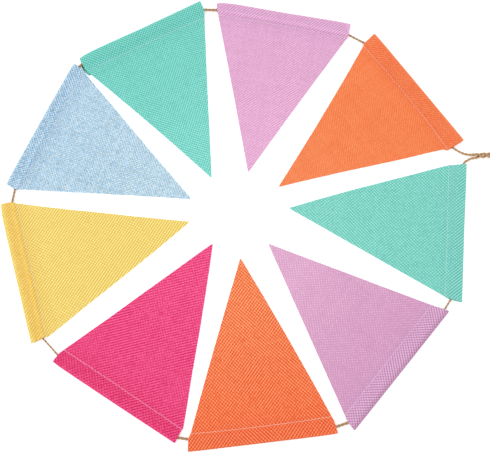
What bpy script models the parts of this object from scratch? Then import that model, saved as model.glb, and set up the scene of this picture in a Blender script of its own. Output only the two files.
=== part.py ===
"""Fabric bunting: triangular cotton pennants with a sewn sleeve, strung on jute twine.

The pennants lie face up in a ring on a flat surface, tips to the middle, as they are
threaded one after another on one length of twine. The two ends of the twine leave the
ring on its right side, are twisted round each other and run out as loose tie ends.

Metres, +Z up. The origin is the middle of the ring on the surface it lies on.
+X is the ring's right side and +Y its top, seen from above.
"""
import math
from dataclasses import dataclass

import bpy
import numpy as np
from mathutils import Vector

MM = 0.001

# Cloth and sleeve
CLOTH = 1.0 * MM
GAP = 0.3 * MM
SEAM_ALLOWANCE = 4.0 * MM
TIP_WIDTH = 1.8 * MM
RUN_OUT = 12.0 * MM
NOSE_NEAR = 1.5 * MM
NOSE_FAR = 0.95 * MM
NOSE_NEAR_DEPTH = 4.0 * MM
NOSE_FAR_DEPTH = 11.0 * MM

# Twine
TWINE = 2.4 * MM
TWINE_SIDES = 2
TWINE_LEVEL = CLOTH + GAP + TWINE / 2
SLEEVE_EASE = 12.0 * MM

# Mesh density
COLUMNS = 8
FLAT_ROWS = 6

# Tie ends
TWIST_SLACK = 1.0 * MM
TWIST_RADIUS = (TWINE + TWIST_SLACK) / 2
TWIST_PITCH = 14.0 * MM
TWIST_TURNS = 5
TWIST_STEPS = 8
TWIST_LEVEL = TWINE / 2 + TWIST_RADIUS + 0.1 * MM
TIE_STRAIGHT = 1.0 * MM
LYING_LEVEL = TWINE / 2 + 0.1 * MM

COLOURS = {
    "lilac": (0.76, 0.42, 0.63, 1.0),
    "orange": (0.91, 0.23, 0.08, 1.0),
    "teal": (0.22, 0.64, 0.55, 1.0),
    "pink": (0.84, 0.08, 0.22, 1.0),
    "yellow": (0.89, 0.67, 0.19, 1.0),
    "blue": (0.46, 0.65, 0.78, 1.0),
    "jute": (0.48, 0.30, 0.16, 1.0),
}


@dataclass(frozen=True)
class Pennant:
    """One pennant, in millimetres and degrees.

    End a comes first and end b last when the ring is followed clockwise from above.
    middle is the middle of the folded edge and turn the direction from end a to end b.
    end_a and end_b give how far the sleeve's end leans inwards, and down to what depth.
    crown is how far the fold bulges outwards near each end, and bow how far each long
    side does. stitch is the depth of the seam at end a, the middle and end b, and twine
    the depth at which the twine enters and leaves.
    """

    number: int
    cloth: str
    middle: tuple
    turn: float
    width: float
    depth: float
    tip_shift: float
    end_a: tuple
    end_b: tuple
    crown: tuple
    bow: tuple
    stitch: tuple
    twine: tuple

    @property
    def name(self):
        return f"pennant_{self.number}_{self.cloth}"


PENNANTS = (
    Pennant(1, "lilac", (52.7, 216.6), -10.0, 145.6, 177.8, -6.9,
            (1.7, 7.0), (1.0, 14.5), (3.4, 0.9), (0.0, -0.6), (12.5, 13.0, 16.0), (7.0, 12.3)),
    Pennant(2, "orange", (193.1, 133.8), -53.6, 147.2, 181.3, -0.9,
            (2.6, 16.0), (1.6, 20.0), (0.4, 0.2), (-1.3, -1.4), (18.2, 16.2, 19.5), (15.2, 14.3)),
    Pennant(3, "teal", (231.4, -21.4), -95.2, 141.0, 175.8, -9.4,
            (2.3, 14.0), (2.0, 12.0), (0.3, 0.0), (1.3, 0.0), (17.6, 16.8, 16.4), (2.8, 11.2)),
    Pennant(4, "lilac", (163.8, -157.0), -130.4, 148.0, 177.7, -11.2,
            (4.9, 14.0), (2.3, 10.0), (0.1, 0.2), (0.0, 0.0), (16.6, 15.9, 15.2), (4.5, 9.0)),
    Pennant(5, "orange", (28.6, -224.5), -173.1, 143.9, 177.8, 0.2,
            (2.0, 12.0), (2.0, 12.0), (0.6, 0.2), (0.8, -1.9), (15.8, 14.6, 16.0), (6.0, 11.5)),
    Pennant(6, "pink", (-115.9, -187.1), 147.8, 142.9, 180.7, 2.2,
            (1.0, 12.0), (1.2, 11.0), (0.0, 0.7), (1.2, -1.1), (13.9, 14.8, 15.0), (5.5, 7.8)),
    Pennant(7, "yellow", (-218.1, -61.4), 105.7, 145.8, 179.9, 2.7,
            (2.6, 14.0), (0.8, 9.0), (0.2, 2.0), (1.3, 0.0), (15.4, 15.2, 15.2), (11.8, 11.0)),
    Pennant(8, "blue", (-202.5, 96.3), 63.9, 146.0, 178.4, -3.9,
            (-0.8, 12.5), (2.7, 13.5), (0.7, 0.7), (0.0, -0.7), (15.0, 13.8, 14.0), (11.6, 6.8)),
    Pennant(9, "teal", (-100.9, 200.4), 27.3, 143.6, 180.8, -5.9,
            (0.0, 13.5), (1.5, 13.0), (2.6, 0.0), (-1.3, 0.0), (16.5, 17.4, 19.8), (7.0, 11.5)),
)

# The twine enters the string at pennant 2 and leaves it at pennant 3
STRING_ORDER = (2, 1, 9, 8, 7, 6, 5, 4, 3)

# Where each tie end runs before the two meet, past its sleeve, in millimetres
TIE_START_A = ((229.2, 63.3), (233.4, 60.8), (238.6, 59.2), (243.2, 58.8))
TIE_START_B = ((238.2, 52.3), (241.0, 53.9), (244.2, 55.0))
# The middle line of the twisted stretch
TWIST_LINE = ((247.5, 57.2), (254.0, 57.9), (262.0, 58.0), (270.2, 56.4), (277.0, 51.2),
              (280.8, 43.0), (281.8, 32.0), (281.6, 20.0), (281.2, 8.0))
# Where each tie end lies after the twist
TIE_END_A = ((282.6, 2.0), (284.6, -16.0), (284.8, -36.0), (281.4, -56.0), (278.4, -76.0),
             (279.4, -96.0), (283.0, -114.0), (284.0, -132.0))
TIE_END_B = ((278.0, 2.0), (275.0, -14.0), (274.6, -32.0), (276.4, -50.0), (273.6, -68.0),
             (270.4, -86.0), (270.0, -104.0), (272.4, -120.0))


def clear_scene():
    """Remove every object of the open scene."""
    for thing in list(bpy.data.objects):
        bpy.data.objects.remove(thing, do_unlink=True)


def cloth_material(name, colour, roughness):
    """A plain matt material in one colour."""
    material = bpy.data.materials.new(name)
    material.use_nodes = True
    shader = material.node_tree.nodes["Principled BSDF"]
    shader.inputs["Base Color"].default_value = colour
    shader.inputs["Roughness"].default_value = roughness
    shader.inputs["Metallic"].default_value = 0.0
    material.diffuse_color = colour
    return material


def across(pennant, x, values):
    """Read a value at x (-1 at end a, 1 at end b) from its two or three given ones, in metres."""
    given = np.linspace(-1.0, 1.0, len(values))
    return np.interp(x, given, values) * MM


def side_line(pennant, depth, side):
    """How far each side of the outline lies from the middle line at a depth, in metres."""
    lean, lean_depth = (pennant.end_a, pennant.end_b)[side]
    sign = (-1.0, 1.0)[side]
    half = pennant.width / 2 * MM
    corner = sign * half
    knee = sign * (half - lean * MM)
    tip = pennant.tip_shift * MM + sign * TIP_WIDTH / 2
    down = np.clip((depth - lean_depth * MM) / ((pennant.depth - lean_depth) * MM), 0.0, 1.0)
    upper = corner + (knee - corner) * np.clip(depth / (lean_depth * MM), 0.0, 1.0)
    bulge = sign * pennant.bow[side] * MM * 4.0 * down * (1.0 - down)
    return upper + (tip - knee) * down + bulge


def sleeve_section(pennant, x):
    """The inner face of the folded cloth at x, from the flap's cut edge to the tip.

    Returns depths and heights, one row for each point of the section. The flap lies on
    the surface, turns up in a soft nose at the fold, arches over the twine, meets the
    flap again at the seam, and runs out flat on the surface.
    """
    seam = across(pennant, x, pennant.stitch)
    twine = across(pennant, x, pennant.twine)
    edge = seam + SEAM_ALLOWANCE
    near = np.clip((NOSE_FAR_DEPTH - twine) / (NOSE_FAR_DEPTH - NOSE_NEAR_DEPTH), 0.0, 1.0)
    nose = NOSE_FAR + (NOSE_NEAR - NOSE_FAR) * near
    top = CLOTH + TWINE + 2 * GAP
    low = CLOTH + GAP
    rows = [(edge, CLOTH), (0.55 * edge, CLOTH)]
    for degrees in (270, 225, 180, 135, 90):
        turn = math.radians(degrees)
        rows.append((CLOTH + nose + nose * math.cos(turn), CLOTH + nose + nose * math.sin(turn)))
    nose_depth, nose_top = rows[-1]
    before = np.maximum(twine - 0.45 * TWINE, nose_depth + 1.0 * MM)
    after = np.maximum(twine + 0.40 * TWINE, before + 0.6 * MM)
    rows.append(((nose_depth + before) / 2, nose_top + 0.7 * (top - nose_top)))
    rows.append((before, top))
    rows.append((after, top))
    for share, height in ((0.35, 0.74), (0.7, 0.22)):
        rows.append((after + share * (seam - after), low + height * (top - low)))
    rows.append((seam, low))
    rows.append((edge + 0.5 * MM, low))
    for share, height in ((0.3, 0.55), (0.65, 0.15)):
        rows.append((edge + share * RUN_OUT, height * low))
    start = edge + RUN_OUT
    for step in range(FLAT_ROWS + 1):
        share = (step / FLAT_ROWS) ** 0.9
        rows.append((start + share * (pennant.depth * MM - start), 0.0))
    depths = np.array([np.broadcast_to(depth, x.shape) for depth, _ in rows])
    heights = np.array([np.broadcast_to(height, x.shape) for _, height in rows])
    return depths, heights


def pennant_mesh(pennant):
    """The open inner face of one pennant as a grid in its own frame."""
    x = np.linspace(-1.0, 1.0, COLUMNS + 1)
    depths, heights = sleeve_section(pennant, x)
    left = side_line(pennant, depths, 0)
    right = side_line(pennant, depths, 1)
    along = left + (right - left) * (x + 1.0) / 2
    bulge = across(pennant, x, pennant.crown) * (1.0 - x ** 8)
    seam = across(pennant, x, pennant.stitch)
    outwards = bulge * np.clip(1.0 - depths / seam, 0.0, 1.0) ** 2
    points = np.stack([along, outwards - depths, heights], axis=-1)
    rows, columns = depths.shape
    corner = np.arange(rows * columns).reshape(rows, columns)
    faces = np.stack(
        [corner[:-1, :-1], corner[:-1, 1:], corner[1:, 1:], corner[1:, :-1]], axis=-1
    )
    mesh = bpy.data.meshes.new(pennant.name)
    mesh.from_pydata(points.reshape(-1, 3).tolist(), [], faces.reshape(-1, 4).tolist())
    mesh.shade_smooth()
    return mesh


def make_pennant(pennant, collection, materials):
    """One pennant: the folded sheet, thickened outwards, laid in its place in the ring."""
    piece = bpy.data.objects.new(pennant.name, pennant_mesh(pennant))
    piece.location = (pennant.middle[0] * MM, pennant.middle[1] * MM, 0.0)
    piece.rotation_euler = (0.0, 0.0, math.radians(pennant.turn))
    piece.data.materials.append(materials[pennant.cloth])
    collection.objects.link(piece)
    thick = piece.modifiers.new("cloth", "SOLIDIFY")
    thick.thickness = CLOTH
    thick.offset = -1.0
    thick.use_even_offset = True
    return piece


def twine_place(pennant, along, x):
    """A point of the twine inside a sleeve, in world coordinates.

    along is the distance from the pennant's middle line, and x the same as a share.
    """
    depth = float(across(pennant, x, pennant.twine))
    turn = math.radians(pennant.turn)
    forward = Vector((math.cos(turn), math.sin(turn), 0.0))
    inward = Vector((math.sin(turn), -math.cos(turn), 0.0))
    middle = Vector((pennant.middle[0] * MM, pennant.middle[1] * MM, TWINE_LEVEL))
    return middle + forward * along + inward * depth


def sleeve_route(pennant):
    """The twine's own points in one sleeve, from end b to end a, with their spacings."""
    points = []
    for side, sign in ((1, 1.0), (0, -1.0)):
        depth = across(pennant, sign, pennant.twine)
        reach = float(side_line(pennant, depth, side))
        inner = reach - sign * SLEEVE_EASE
        half = pennant.width / 2 * MM
        places = (reach, inner) if side else (inner, reach)
        points.extend(twine_place(pennant, place, place / half) for place in places)
    return points


def smooth_curve(route, steps):
    """Points on a centripetal Catmull-Rom curve through a route.

    steps holds how many pieces each stretch between two route points is cut into.
    """
    route = [Vector(point) for point in route]
    before = route[0] * 2 - route[1]
    after = route[-1] * 2 - route[-2]
    posts = [before] + route + [after]
    points = []
    for index, count in enumerate(steps):
        p0, p1, p2, p3 = posts[index:index + 4]
        t1 = math.sqrt((p1 - p0).length)
        t2 = t1 + math.sqrt((p2 - p1).length)
        t3 = t2 + math.sqrt((p3 - p2).length)
        for step in range(count):
            t = t1 + (t2 - t1) * step / count
            a1 = p0 * ((t1 - t) / t1) + p1 * (t / t1)
            a2 = p1 * ((t2 - t) / (t2 - t1)) + p2 * ((t - t1) / (t2 - t1))
            a3 = p2 * ((t3 - t) / (t3 - t2)) + p3 * ((t - t2) / (t3 - t2))
            b1 = a1 * ((t2 - t) / t2) + a2 * (t / t2)
            b2 = a2 * ((t3 - t) / (t3 - t1)) + a3 * ((t - t1) / (t3 - t1))
            points.append(b1 * ((t2 - t) / (t2 - t1)) + b2 * ((t - t1) / (t2 - t1)))
    points.append(route[-1])
    return points


def twine_route():
    """The twine's points through all the sleeves, from pennant 2 round to pennant 3."""
    by_number = {pennant.number: pennant for pennant in PENNANTS}
    route = []
    steps = []
    for number in STRING_ORDER:
        route.extend(sleeve_route(by_number[number]))
        steps.extend((2, 3, 2, 2))
    return smooth_curve(route, steps[:-1])


def flat_points(places, level):
    """Route points at one height above the surface."""
    return [Vector((x * MM, y * MM, level)) for x, y in places]


def twisted_points(phase):
    """One strand of the twisted pair: a helix wound along the pair's middle line."""
    axis = flat_points(TWIST_LINE, TWIST_LEVEL)
    dense = smooth_curve(axis, [12] * (len(axis) - 1))
    place = np.array([tuple(point) for point in dense])
    run = np.concatenate([[0.0], np.cumsum(np.linalg.norm(np.diff(place, axis=0), axis=1))])
    count = TWIST_TURNS * TWIST_STEPS
    points = []
    for step in range(count + 1):
        distance = step / TWIST_STEPS * TWIST_PITCH
        centre = np.array([np.interp(distance, run, place[:, k]) for k in range(3)])
        ahead = np.array([np.interp(distance + MM, run, place[:, k]) for k in range(3)])
        forward = (ahead - centre) / np.linalg.norm(ahead - centre)
        sideways = np.array([-forward[1], forward[0], 0.0])
        angle = phase + 2 * math.pi * step / TWIST_STEPS
        offset = sideways * math.cos(angle) + np.array([0.0, 0.0, 1.0]) * math.sin(angle)
        points.append(Vector(centre + offset * TWIST_RADIUS))
    return points


def tie_points(sleeve, start, phase, end):
    """One tie end: from its sleeve to the twist, through it, and out to its free end.

    sleeve holds the twine's last two points in the sleeve, the inner one first.
    """
    outwards = (sleeve[1] - sleeve[0]).normalized()
    head = [sleeve[1] + outwards * GAP, sleeve[1] + outwards * (GAP + TIE_STRAIGHT)]
    head += flat_points(start, TWINE_LEVEL)
    tail = flat_points(end, LYING_LEVEL)
    twist = twisted_points(phase)
    lead_in = smooth_curve(head + twist[:2], [1] + [2] * (len(head) - 1) + [1])[:-2]
    lead_out = smooth_curve(twist[-2:] + tail, [1] + [3] + [2] * (len(tail) - 1))[1:]
    return lead_in + twist[:-1] + lead_out


def make_twine(name, points, collection, material):
    """A round tube with closed ends along a list of points."""
    curve = bpy.data.curves.new(name, "CURVE")
    curve.dimensions = "3D"
    curve.bevel_depth = TWINE / 2
    curve.bevel_resolution = TWINE_SIDES
    curve.use_fill_caps = True
    line = curve.splines.new("POLY")
    line.points.add(len(points) - 1)
    for spot, point in zip(line.points, points):
        spot.co = (point.x, point.y, point.z, 1.0)
    curve.materials.append(material)
    piece = bpy.data.objects.new(name, curve)
    collection.objects.link(piece)
    return piece


def main():
    """Build the bunting."""
    clear_scene()
    collection = bpy.data.collections.new("fabric_bunting")
    bpy.context.scene.collection.children.link(collection)
    materials = {
        name: cloth_material(f"{name}_cloth", colour, 0.9) for name, colour in COLOURS.items()
    }
    for pennant in PENNANTS:
        make_pennant(pennant, collection, materials)
    jute = materials["jute"]
    string = twine_route()
    tie_a = tie_points((string[1], string[0]), TIE_START_A, 0.0, TIE_END_A)
    tie_b = tie_points((string[-2], string[-1]), TIE_START_B, math.pi, TIE_END_B)
    make_twine("twine", string, collection, jute)
    make_twine("tie_a", tie_a, collection, jute)
    make_twine("tie_b", tie_b, collection, jute)


main()
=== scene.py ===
"""Looks of the fabric bunting: woven pennants with a sewn sleeve, laid in a ring on jute twine.

Everything is in metres in the frame of the solids: the origin is the middle of the ring
on the surface, +Z is up, +X is the side where the tie ends leave and +Y the ring's top.
"""

import logging
import math
from dataclasses import dataclass, field
from enum import IntEnum
from typing import Sequence

import bpy
import numpy as np
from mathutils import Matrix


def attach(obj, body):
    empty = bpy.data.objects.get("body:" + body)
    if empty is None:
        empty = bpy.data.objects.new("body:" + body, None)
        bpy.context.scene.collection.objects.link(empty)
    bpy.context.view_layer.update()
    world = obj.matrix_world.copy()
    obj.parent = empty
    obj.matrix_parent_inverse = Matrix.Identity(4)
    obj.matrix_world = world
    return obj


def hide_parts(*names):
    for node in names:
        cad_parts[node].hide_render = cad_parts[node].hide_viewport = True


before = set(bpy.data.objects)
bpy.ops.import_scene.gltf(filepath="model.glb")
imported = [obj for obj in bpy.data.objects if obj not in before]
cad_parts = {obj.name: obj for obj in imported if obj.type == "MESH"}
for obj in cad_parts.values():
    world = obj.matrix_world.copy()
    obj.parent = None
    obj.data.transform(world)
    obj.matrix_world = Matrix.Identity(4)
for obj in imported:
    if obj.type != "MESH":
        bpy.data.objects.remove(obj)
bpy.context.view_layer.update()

logging.basicConfig(level=logging.INFO, format="%(message)s")
LOG = logging.getLogger("bunting")

MM = 0.001
UP = np.array([0.0, 0.0, 1.0])
BODY = "root"

# Sizes shared with the solids
SHEET_LEVEL = 0.5 * MM
TWINE_THICKNESS = 2.4 * MM
TWINE_LEVEL = 2.5 * MM
LYING_LEVEL = 1.3 * MM
TWIST_RADIUS = 1.7 * MM
TWIST_PITCH = 14.0 * MM
TWIST_TURNS = 5
TWIST_LEVEL = 3.0 * MM
SLEEVE_EASE = 12.0 * MM
MOUTH_GAP = 0.3 * MM
MOUTH_STRAIGHT = 1.0 * MM
TIP_WIDTH = 1.0 * MM
NIP_REACH = 55.0 * MM

# Weave
CLOTH_THICKNESS = 0.7 * MM
RELIEF = 0.11 * MM
WEAVE_MAP = "weave"
BAKE_MAP = "OFBake"
THREAD_WHITE = (243, 248, 255)
LOWEST = 0.02 * MM

# Layout of the map for baked materials, as shares of its square
BAKE_WIDTH = 236.0 * MM
BAKE_MIDDLE = 75.0 * MM
BAKE_HEIGHT = 0.96
BAKE_MARGIN = 0.005
BAKE_RIM = (0.975, 0.995)

# Where a cloth changes, down its run from the fold. A ramp is given by its two ends.
SLEEVE_RISE = (-1.0 * MM, 7.0 * MM)
FADE_START = 22.0 * MM
FADE_LENGTH = 118.0 * MM

# The same from the fold to the flap's cut edge: how far the flap runs out, and the painted shadow
# on it under the front's side, deepest first and lighter further on
FLAP_RAMPS = ((4.0 * MM, 7.0 * MM), (12.0 * MM, 17.0 * MM))
FLAP_PAINTED_SHADOW = ((3.0 * MM, 6.0 * MM), (12.0 * MM, 15.0 * MM))

# The same past the seam
SLEEVE_FALL = (-1.5 * MM, 0.8 * MM)
PAST_RISE = (-1.0 * MM, 0.5 * MM)
PAST_FALL = (2.0 * MM, 18.0 * MM)
# Where painted light lifts the sleeve's slope down to its seam
SLOPE_RISE = (-5.5 * MM, -3.0 * MM)
SLOPE_FALL = (-2.0 * MM, 0.5 * MM)
HATCH_CHANGE = (-2.5 * MM, 1.5 * MM)

# How strong such a change is: the colour of the double cloth with its painted shade past the seam,
# the painted highlight on a turned corner, and the hatching lost past its reach, with half that
# ramp's length in millimetres
PAST_SHARE = 0.35
CORNER_HIGHLIGHT = 0.10
HATCH_LOSS = 0.65
HATCH_FADE = 1.5


class End(IntEnum):
    """The two ends of a sleeve: a comes first when the ring is followed clockwise."""

    A = 0
    B = 1

    @property
    def sign(self) -> float:
        """Which way the end lies along the fold: -1 for end a and 1 for end b."""
        return (-1.0, 1.0)[self]


class Bench:
    """A material's node tree, with one method that makes every node."""

    def __init__(self, name: str) -> None:
        """Start an empty material.

        Args:
            name: The material's name.
        """
        self.material = bpy.data.materials.new(name)
        self.material.use_nodes = True
        self.tree = self.material.node_tree
        self.shader = self.tree.nodes["Principled BSDF"]

    def plug(self, socket: bpy.types.NodeSocket, value: object) -> None:
        """Link a Value to a socket, or set the socket to a plain number or colour.

        Args:
            socket: The socket to feed.
            value: A Value, a number or a colour.
        """
        if isinstance(value, Value):
            self.tree.links.new(value.socket, socket)
        else:
            socket.default_value = value

    def node(self, kind: str, settings: dict, sockets: dict, out: object = 0) -> "Value":
        """Make one node.

        Args:
            kind: The node's type.
            settings: The node's own properties, set before its sockets.
            sockets: Values or links by socket name or number.
            out: The output to return.

        Returns:
            The chosen output as a Value.
        """
        made = self.tree.nodes.new(kind)
        for key, setting in settings.items():
            setattr(made, key, setting)
        for key, value in sockets.items():
            self.plug(made.inputs[key], value)
        return Value(self, made.outputs[out])

    def math(self, operation: str, *numbers: object) -> "Value":
        """One Math node on up to three numbers."""
        return self.node("ShaderNodeMath", {"operation": operation}, dict(enumerate(numbers)))

    def mix(self, factor: object, first: object, second: object) -> "Value":
        """A colour between two, by a factor."""
        sockets = {0: factor, 6: first, 7: second}
        return self.node("ShaderNodeMix", {"data_type": "RGBA"}, sockets, 2)

    def tint(self, factor: object, first: object, second: object) -> "Value":
        """The first colour multiplied by the second, by a factor."""
        settings = {"data_type": "RGBA", "blend_type": "MULTIPLY"}
        return self.node("ShaderNodeMix", settings, {0: factor, 6: first, 7: second}, 2)

    def axis(self, vector: "Value", number: int) -> "Value":
        """One coordinate of a vector."""
        return self.node("ShaderNodeSeparateXYZ", {}, {0: vector}, number)

    def attribute(self, name: str, out: str) -> "Value":
        """A piece's own attribute, read as its Fac, Vector or Color."""
        return self.node("ShaderNodeAttribute", {"attribute_name": name}, {}, out)

    def weave_map(self) -> "Value":
        """A piece's own map of threads or twine."""
        return self.node("ShaderNodeUVMap", {"uv_map": WEAVE_MAP}, {})

    def bump(self, strength: float, distance: float, height: "Value") -> None:
        """Bend the shading by a height."""
        sockets = {"Strength": strength, "Distance": distance, "Height": height}
        self.plug(self.shader.inputs["Normal"], self.node("ShaderNodeBump", {}, sockets))

    def vector(self, x: object, y: object, z: object = 0.0) -> "Value":
        """A vector of three numbers."""
        return self.node("ShaderNodeCombineXYZ", {}, {0: x, 1: y, 2: z})

    def noise(self, place: object, scale: float, detail: float = 2.0) -> "Value":
        """Soft noise from 0 to 1 at a place."""
        sockets = {"Vector": place, "Scale": scale, "Detail": detail}
        return self.node("ShaderNodeTexNoise", {"noise_dimensions": "3D"}, sockets)

    def chance(self, number: object) -> "Value":
        """A fixed random number about zero, half up or down, for each whole number."""
        random = self.node("ShaderNodeTexWhiteNoise", {"noise_dimensions": "1D"}, {"W": number})
        return random - 0.5


class Value:
    """A shader socket that takes part in Python expressions."""

    def __init__(self, bench: Bench, socket: bpy.types.NodeSocket) -> None:
        """Wrap a socket of a bench."""
        self.bench = bench
        self.socket = socket

    def __add__(self, other: object) -> "Value":
        """Sum."""
        return self.bench.math("ADD", self, other)

    def __radd__(self, other: object) -> "Value":
        """Sum with a number on the left."""
        return self.bench.math("ADD", other, self)

    def __sub__(self, other: object) -> "Value":
        """Difference."""
        return self.bench.math("SUBTRACT", self, other)

    def __rsub__(self, other: object) -> "Value":
        """Difference with a number on the left."""
        return self.bench.math("SUBTRACT", other, self)

    def __mul__(self, other: object) -> "Value":
        """Product."""
        return self.bench.math("MULTIPLY", self, other)

    def __rmul__(self, other: object) -> "Value":
        """Product with a number on the left."""
        return self.bench.math("MULTIPLY", other, self)


def linear(red: float, green: float, blue: float) -> tuple[float, float, float, float]:
    """A screen colour, 0 to 255, as a linear colour for a shader."""
    shares = [part / 255 for part in (red, green, blue)]
    return (*[s / 12.92 if s <= 0.04045 else ((s + 0.055) / 1.055) ** 2.4 for s in shares], 1.0)


@dataclass(frozen=True)
class ClothFinish:
    """The look of one kind of cloth.

    middle is the mean screen colour and swing how far each channel goes up on the palest
    and down on the deepest fibres. unevenness is how much single threads differ, speckle
    how much single crossings do, and fibre how strong the streaks along a thread are, all
    as shares of the way from the deepest to the palest colour. warmth is how far the
    threads of a two-tone cloth drift between a warm and a cool white. mottle is the
    strength of the slow drift of tone. The gaps between threads are as wide as gap_width and
    get painted shade: they keep gap_shade_keep of the thread's colour and are gap_shade_depth
    swings below the mean. Scales count noise cells in a metre. thread_spread is how much threads
    differ in thickness.
    """

    name: str
    slot: str
    middle: tuple
    swing: tuple
    unevenness: float = 0.12
    speckle: float = 0.12
    fibre: float = 0.22
    warmth: float = 0.0
    roughness: float = 0.86
    mottle: float = 0.14
    mottle_scale: float = 38.0
    lean_scale: float = 24.0
    gap_width: float = 0.4
    gap_shade_keep: float = 0.55
    gap_shade_depth: float = 1.8
    thread_spread: float = 0.22

    def shade(self, share: float) -> tuple:
        """A linear colour: the mean moved by a share of the swing, 1 up or -1 down."""
        channels = [m + share * w for m, w in zip(self.middle, self.swing)]
        return linear(*[min(max(channel, 0.0), 252.0) for channel in channels])

    def paled(self, share: float) -> tuple:
        """The mean colour moved by a share of the way to the sewing thread's white."""
        return linear(*[m + share * (w - m) for m, w in zip(self.middle, THREAD_WHITE)])

    def material(self) -> bpy.types.Material:
        """Plain weave read from the cloth's own map, one thread to each unit.

        The thread on top is the lengthwise one where the two thread numbers sum to an odd
        number. Its height is a half sine across it, lower where it dives under, and painted
        shade darkens the cloth between the threads. Two cosine waves along the diagonals, which
        peak on those same threads, give the hatching that leaning fibres make, and which of them
        shows more changes slowly over the cloth. Each quarter of a crossing has its own
        fleck. The cloth's hatching attribute says how strong the two waves and the flecks are.

        Returns:
            The finished material.
        """
        bench = Bench(self.name)
        across, along = self.weave_coordinates(bench)
        warp_number = bench.math("FLOOR", across)
        weft_number = bench.math("FLOOR", along)
        over = bench.math("FLOORED_MODULO", warp_number + weft_number, 2.0)
        crown_u = bench.math("SINE", (across - warp_number) * math.pi)
        crown_v = bench.math("SINE", (along - weft_number) * math.pi)
        warp_height = crown_u * (crown_v * 0.45 + 0.55)
        weft_height = crown_v * (crown_u * 0.45 + 0.55)
        height = weft_height + (warp_height - weft_height) * over
        warp_shade = self.thread_shade(bench, warp_number, across, along, 0.0)
        weft_shade = self.thread_shade(bench, weft_number, along, across, 57.0)
        shade = weft_shade + (warp_shade - weft_shade) * over
        crossing = bench.chance(warp_number * 3.7 + weft_number * 191.3) * self.speckle
        place = bench.node("ShaderNodeTexCoord", {}, {}, "Object")
        mottle = (bench.noise(place, self.mottle_scale) - 0.5) * self.mottle
        hatching = self.hatching(bench, across, along, crossing, place)
        share = shade + mottle + crossing + hatching + 0.5
        # Painted shade in the gaps between the threads
        gap = bench.node(
            "ShaderNodeMapRange", {"interpolation_type": "SMOOTHSTEP"},
            {"Value": height, "From Min": 0.0, "From Max": self.gap_width,
             "To Min": self.gap_shade_keep, "To Max": 1.0},
        )
        thread = bench.mix(share, self.shade(-1.0), self.shade(1.0))
        cloth = bench.mix(gap, self.shade(-self.gap_shade_depth), thread)
        colour = bench.tint(1.0, cloth, bench.attribute("doubling_and_painted_light", "Color"))
        if self.warmth:
            colour = bench.tint(1.0, colour, self.warm_and_cool(bench, across, along, over))
        bench.plug(bench.shader.inputs["Base Color"], colour)
        bench.plug(bench.shader.inputs["Roughness"], self.roughness + (1.0 - height) * 0.1)
        bench.bump(0.5, 0.2 * MM, height + shade * 0.5)
        bench.shader.inputs["Specular IOR Level"].default_value = 0.2
        return bench.material

    def hatching(
        self, bench: Bench, across: Value, along: Value, crossing: Value, place: Value
    ) -> Value:
        """The two diagonal waves and the flecks, by the strengths in the cloth's attribute.

        Args:
            bench: The material.
            across: Thread numbers across the cloth.
            along: Thread numbers along the cloth.
            crossing: Each crossing's own shade.
            place: The place in space, for the slow change between the two waves.

        Returns:
            What they add to the thread's share of light.
        """
        strength = bench.attribute("hatching", "Vector")
        rising = bench.math("COSINE", (across + along) * math.pi) * bench.axis(strength, 0)
        falling = bench.math("COSINE", (across - along) * math.pi) * bench.axis(strength, 1)
        lean = (bench.noise(place, self.lean_scale, 1.0) - 0.5) * 3.0
        waves = rising * (lean + 1.0) - falling * (1.0 - lean)
        quarter = bench.math("FLOOR", across * 2.0) * 5.3 + bench.math("FLOOR", along * 2.0) * 173.9
        return waves * (crossing * 8.0 + 1.0) + bench.chance(quarter) * bench.axis(strength, 2)

    def warm_and_cool(self, bench: Bench, across: Value, along: Value, over: Value) -> Value:
        """A colour factor that drifts from cool to warm along the thread on top.

        Args:
            bench: The material.
            across: Thread numbers across the cloth.
            along: Thread numbers along the cloth.
            over: 1 where the lengthwise thread is on top.

        Returns:
            The colour factor.
        """
        weft = bench.noise(bench.vector(across * 0.3, along * 1.0, 3.0), 1.0, 1.0)
        warp = bench.noise(bench.vector(across * 1.0, along * 0.3, 8.0), 1.0, 1.0)
        red, blue = self.warmth, 0.8 * self.warmth
        drift = (weft + (warp - weft) * over) * 1.6 - 0.3
        return bench.mix(drift, (1 - red, 1.0, 1 + blue, 1.0), (1 + red, 1.0, 1 - blue, 1.0))

    def weave_coordinates(self, bench: Bench) -> tuple[Value, Value]:
        """Thread numbers across and along the cloth, with a slight waver of the threads.

        Args:
            bench: The material.

        Returns:
            The two numbers.
        """
        place = bench.weave_map()
        waver = (bench.noise(place, 0.045, 1.0) - 0.5) * 0.5
        return bench.axis(place, 0) + waver, bench.axis(place, 1) - waver

    def thread_shade(
        self, bench: Bench, number: Value, across: Value, along: Value, seed: float
    ) -> Value:
        """How much lighter or darker a thread is: by its number, its slubs and its fibres.

        Args:
            bench: The material.
            number: The thread's number.
            across: Places across the thread, in threads.
            along: Places along the thread, in threads.
            seed: What tells the two sets of threads apart.

        Returns:
            What it adds to the thread's share of light.
        """
        own = bench.chance(number + seed)
        slub = bench.noise(bench.vector(number * 3.1 + seed, along * 0.16), 1.0, 1.0) - 0.5
        streak = bench.noise(bench.vector(across * 7.0, along * 0.9, seed), 1.0, 1.0) - 0.5
        return own * self.unevenness + slub * (self.unevenness * 1.6) + streak * self.fibre


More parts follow.
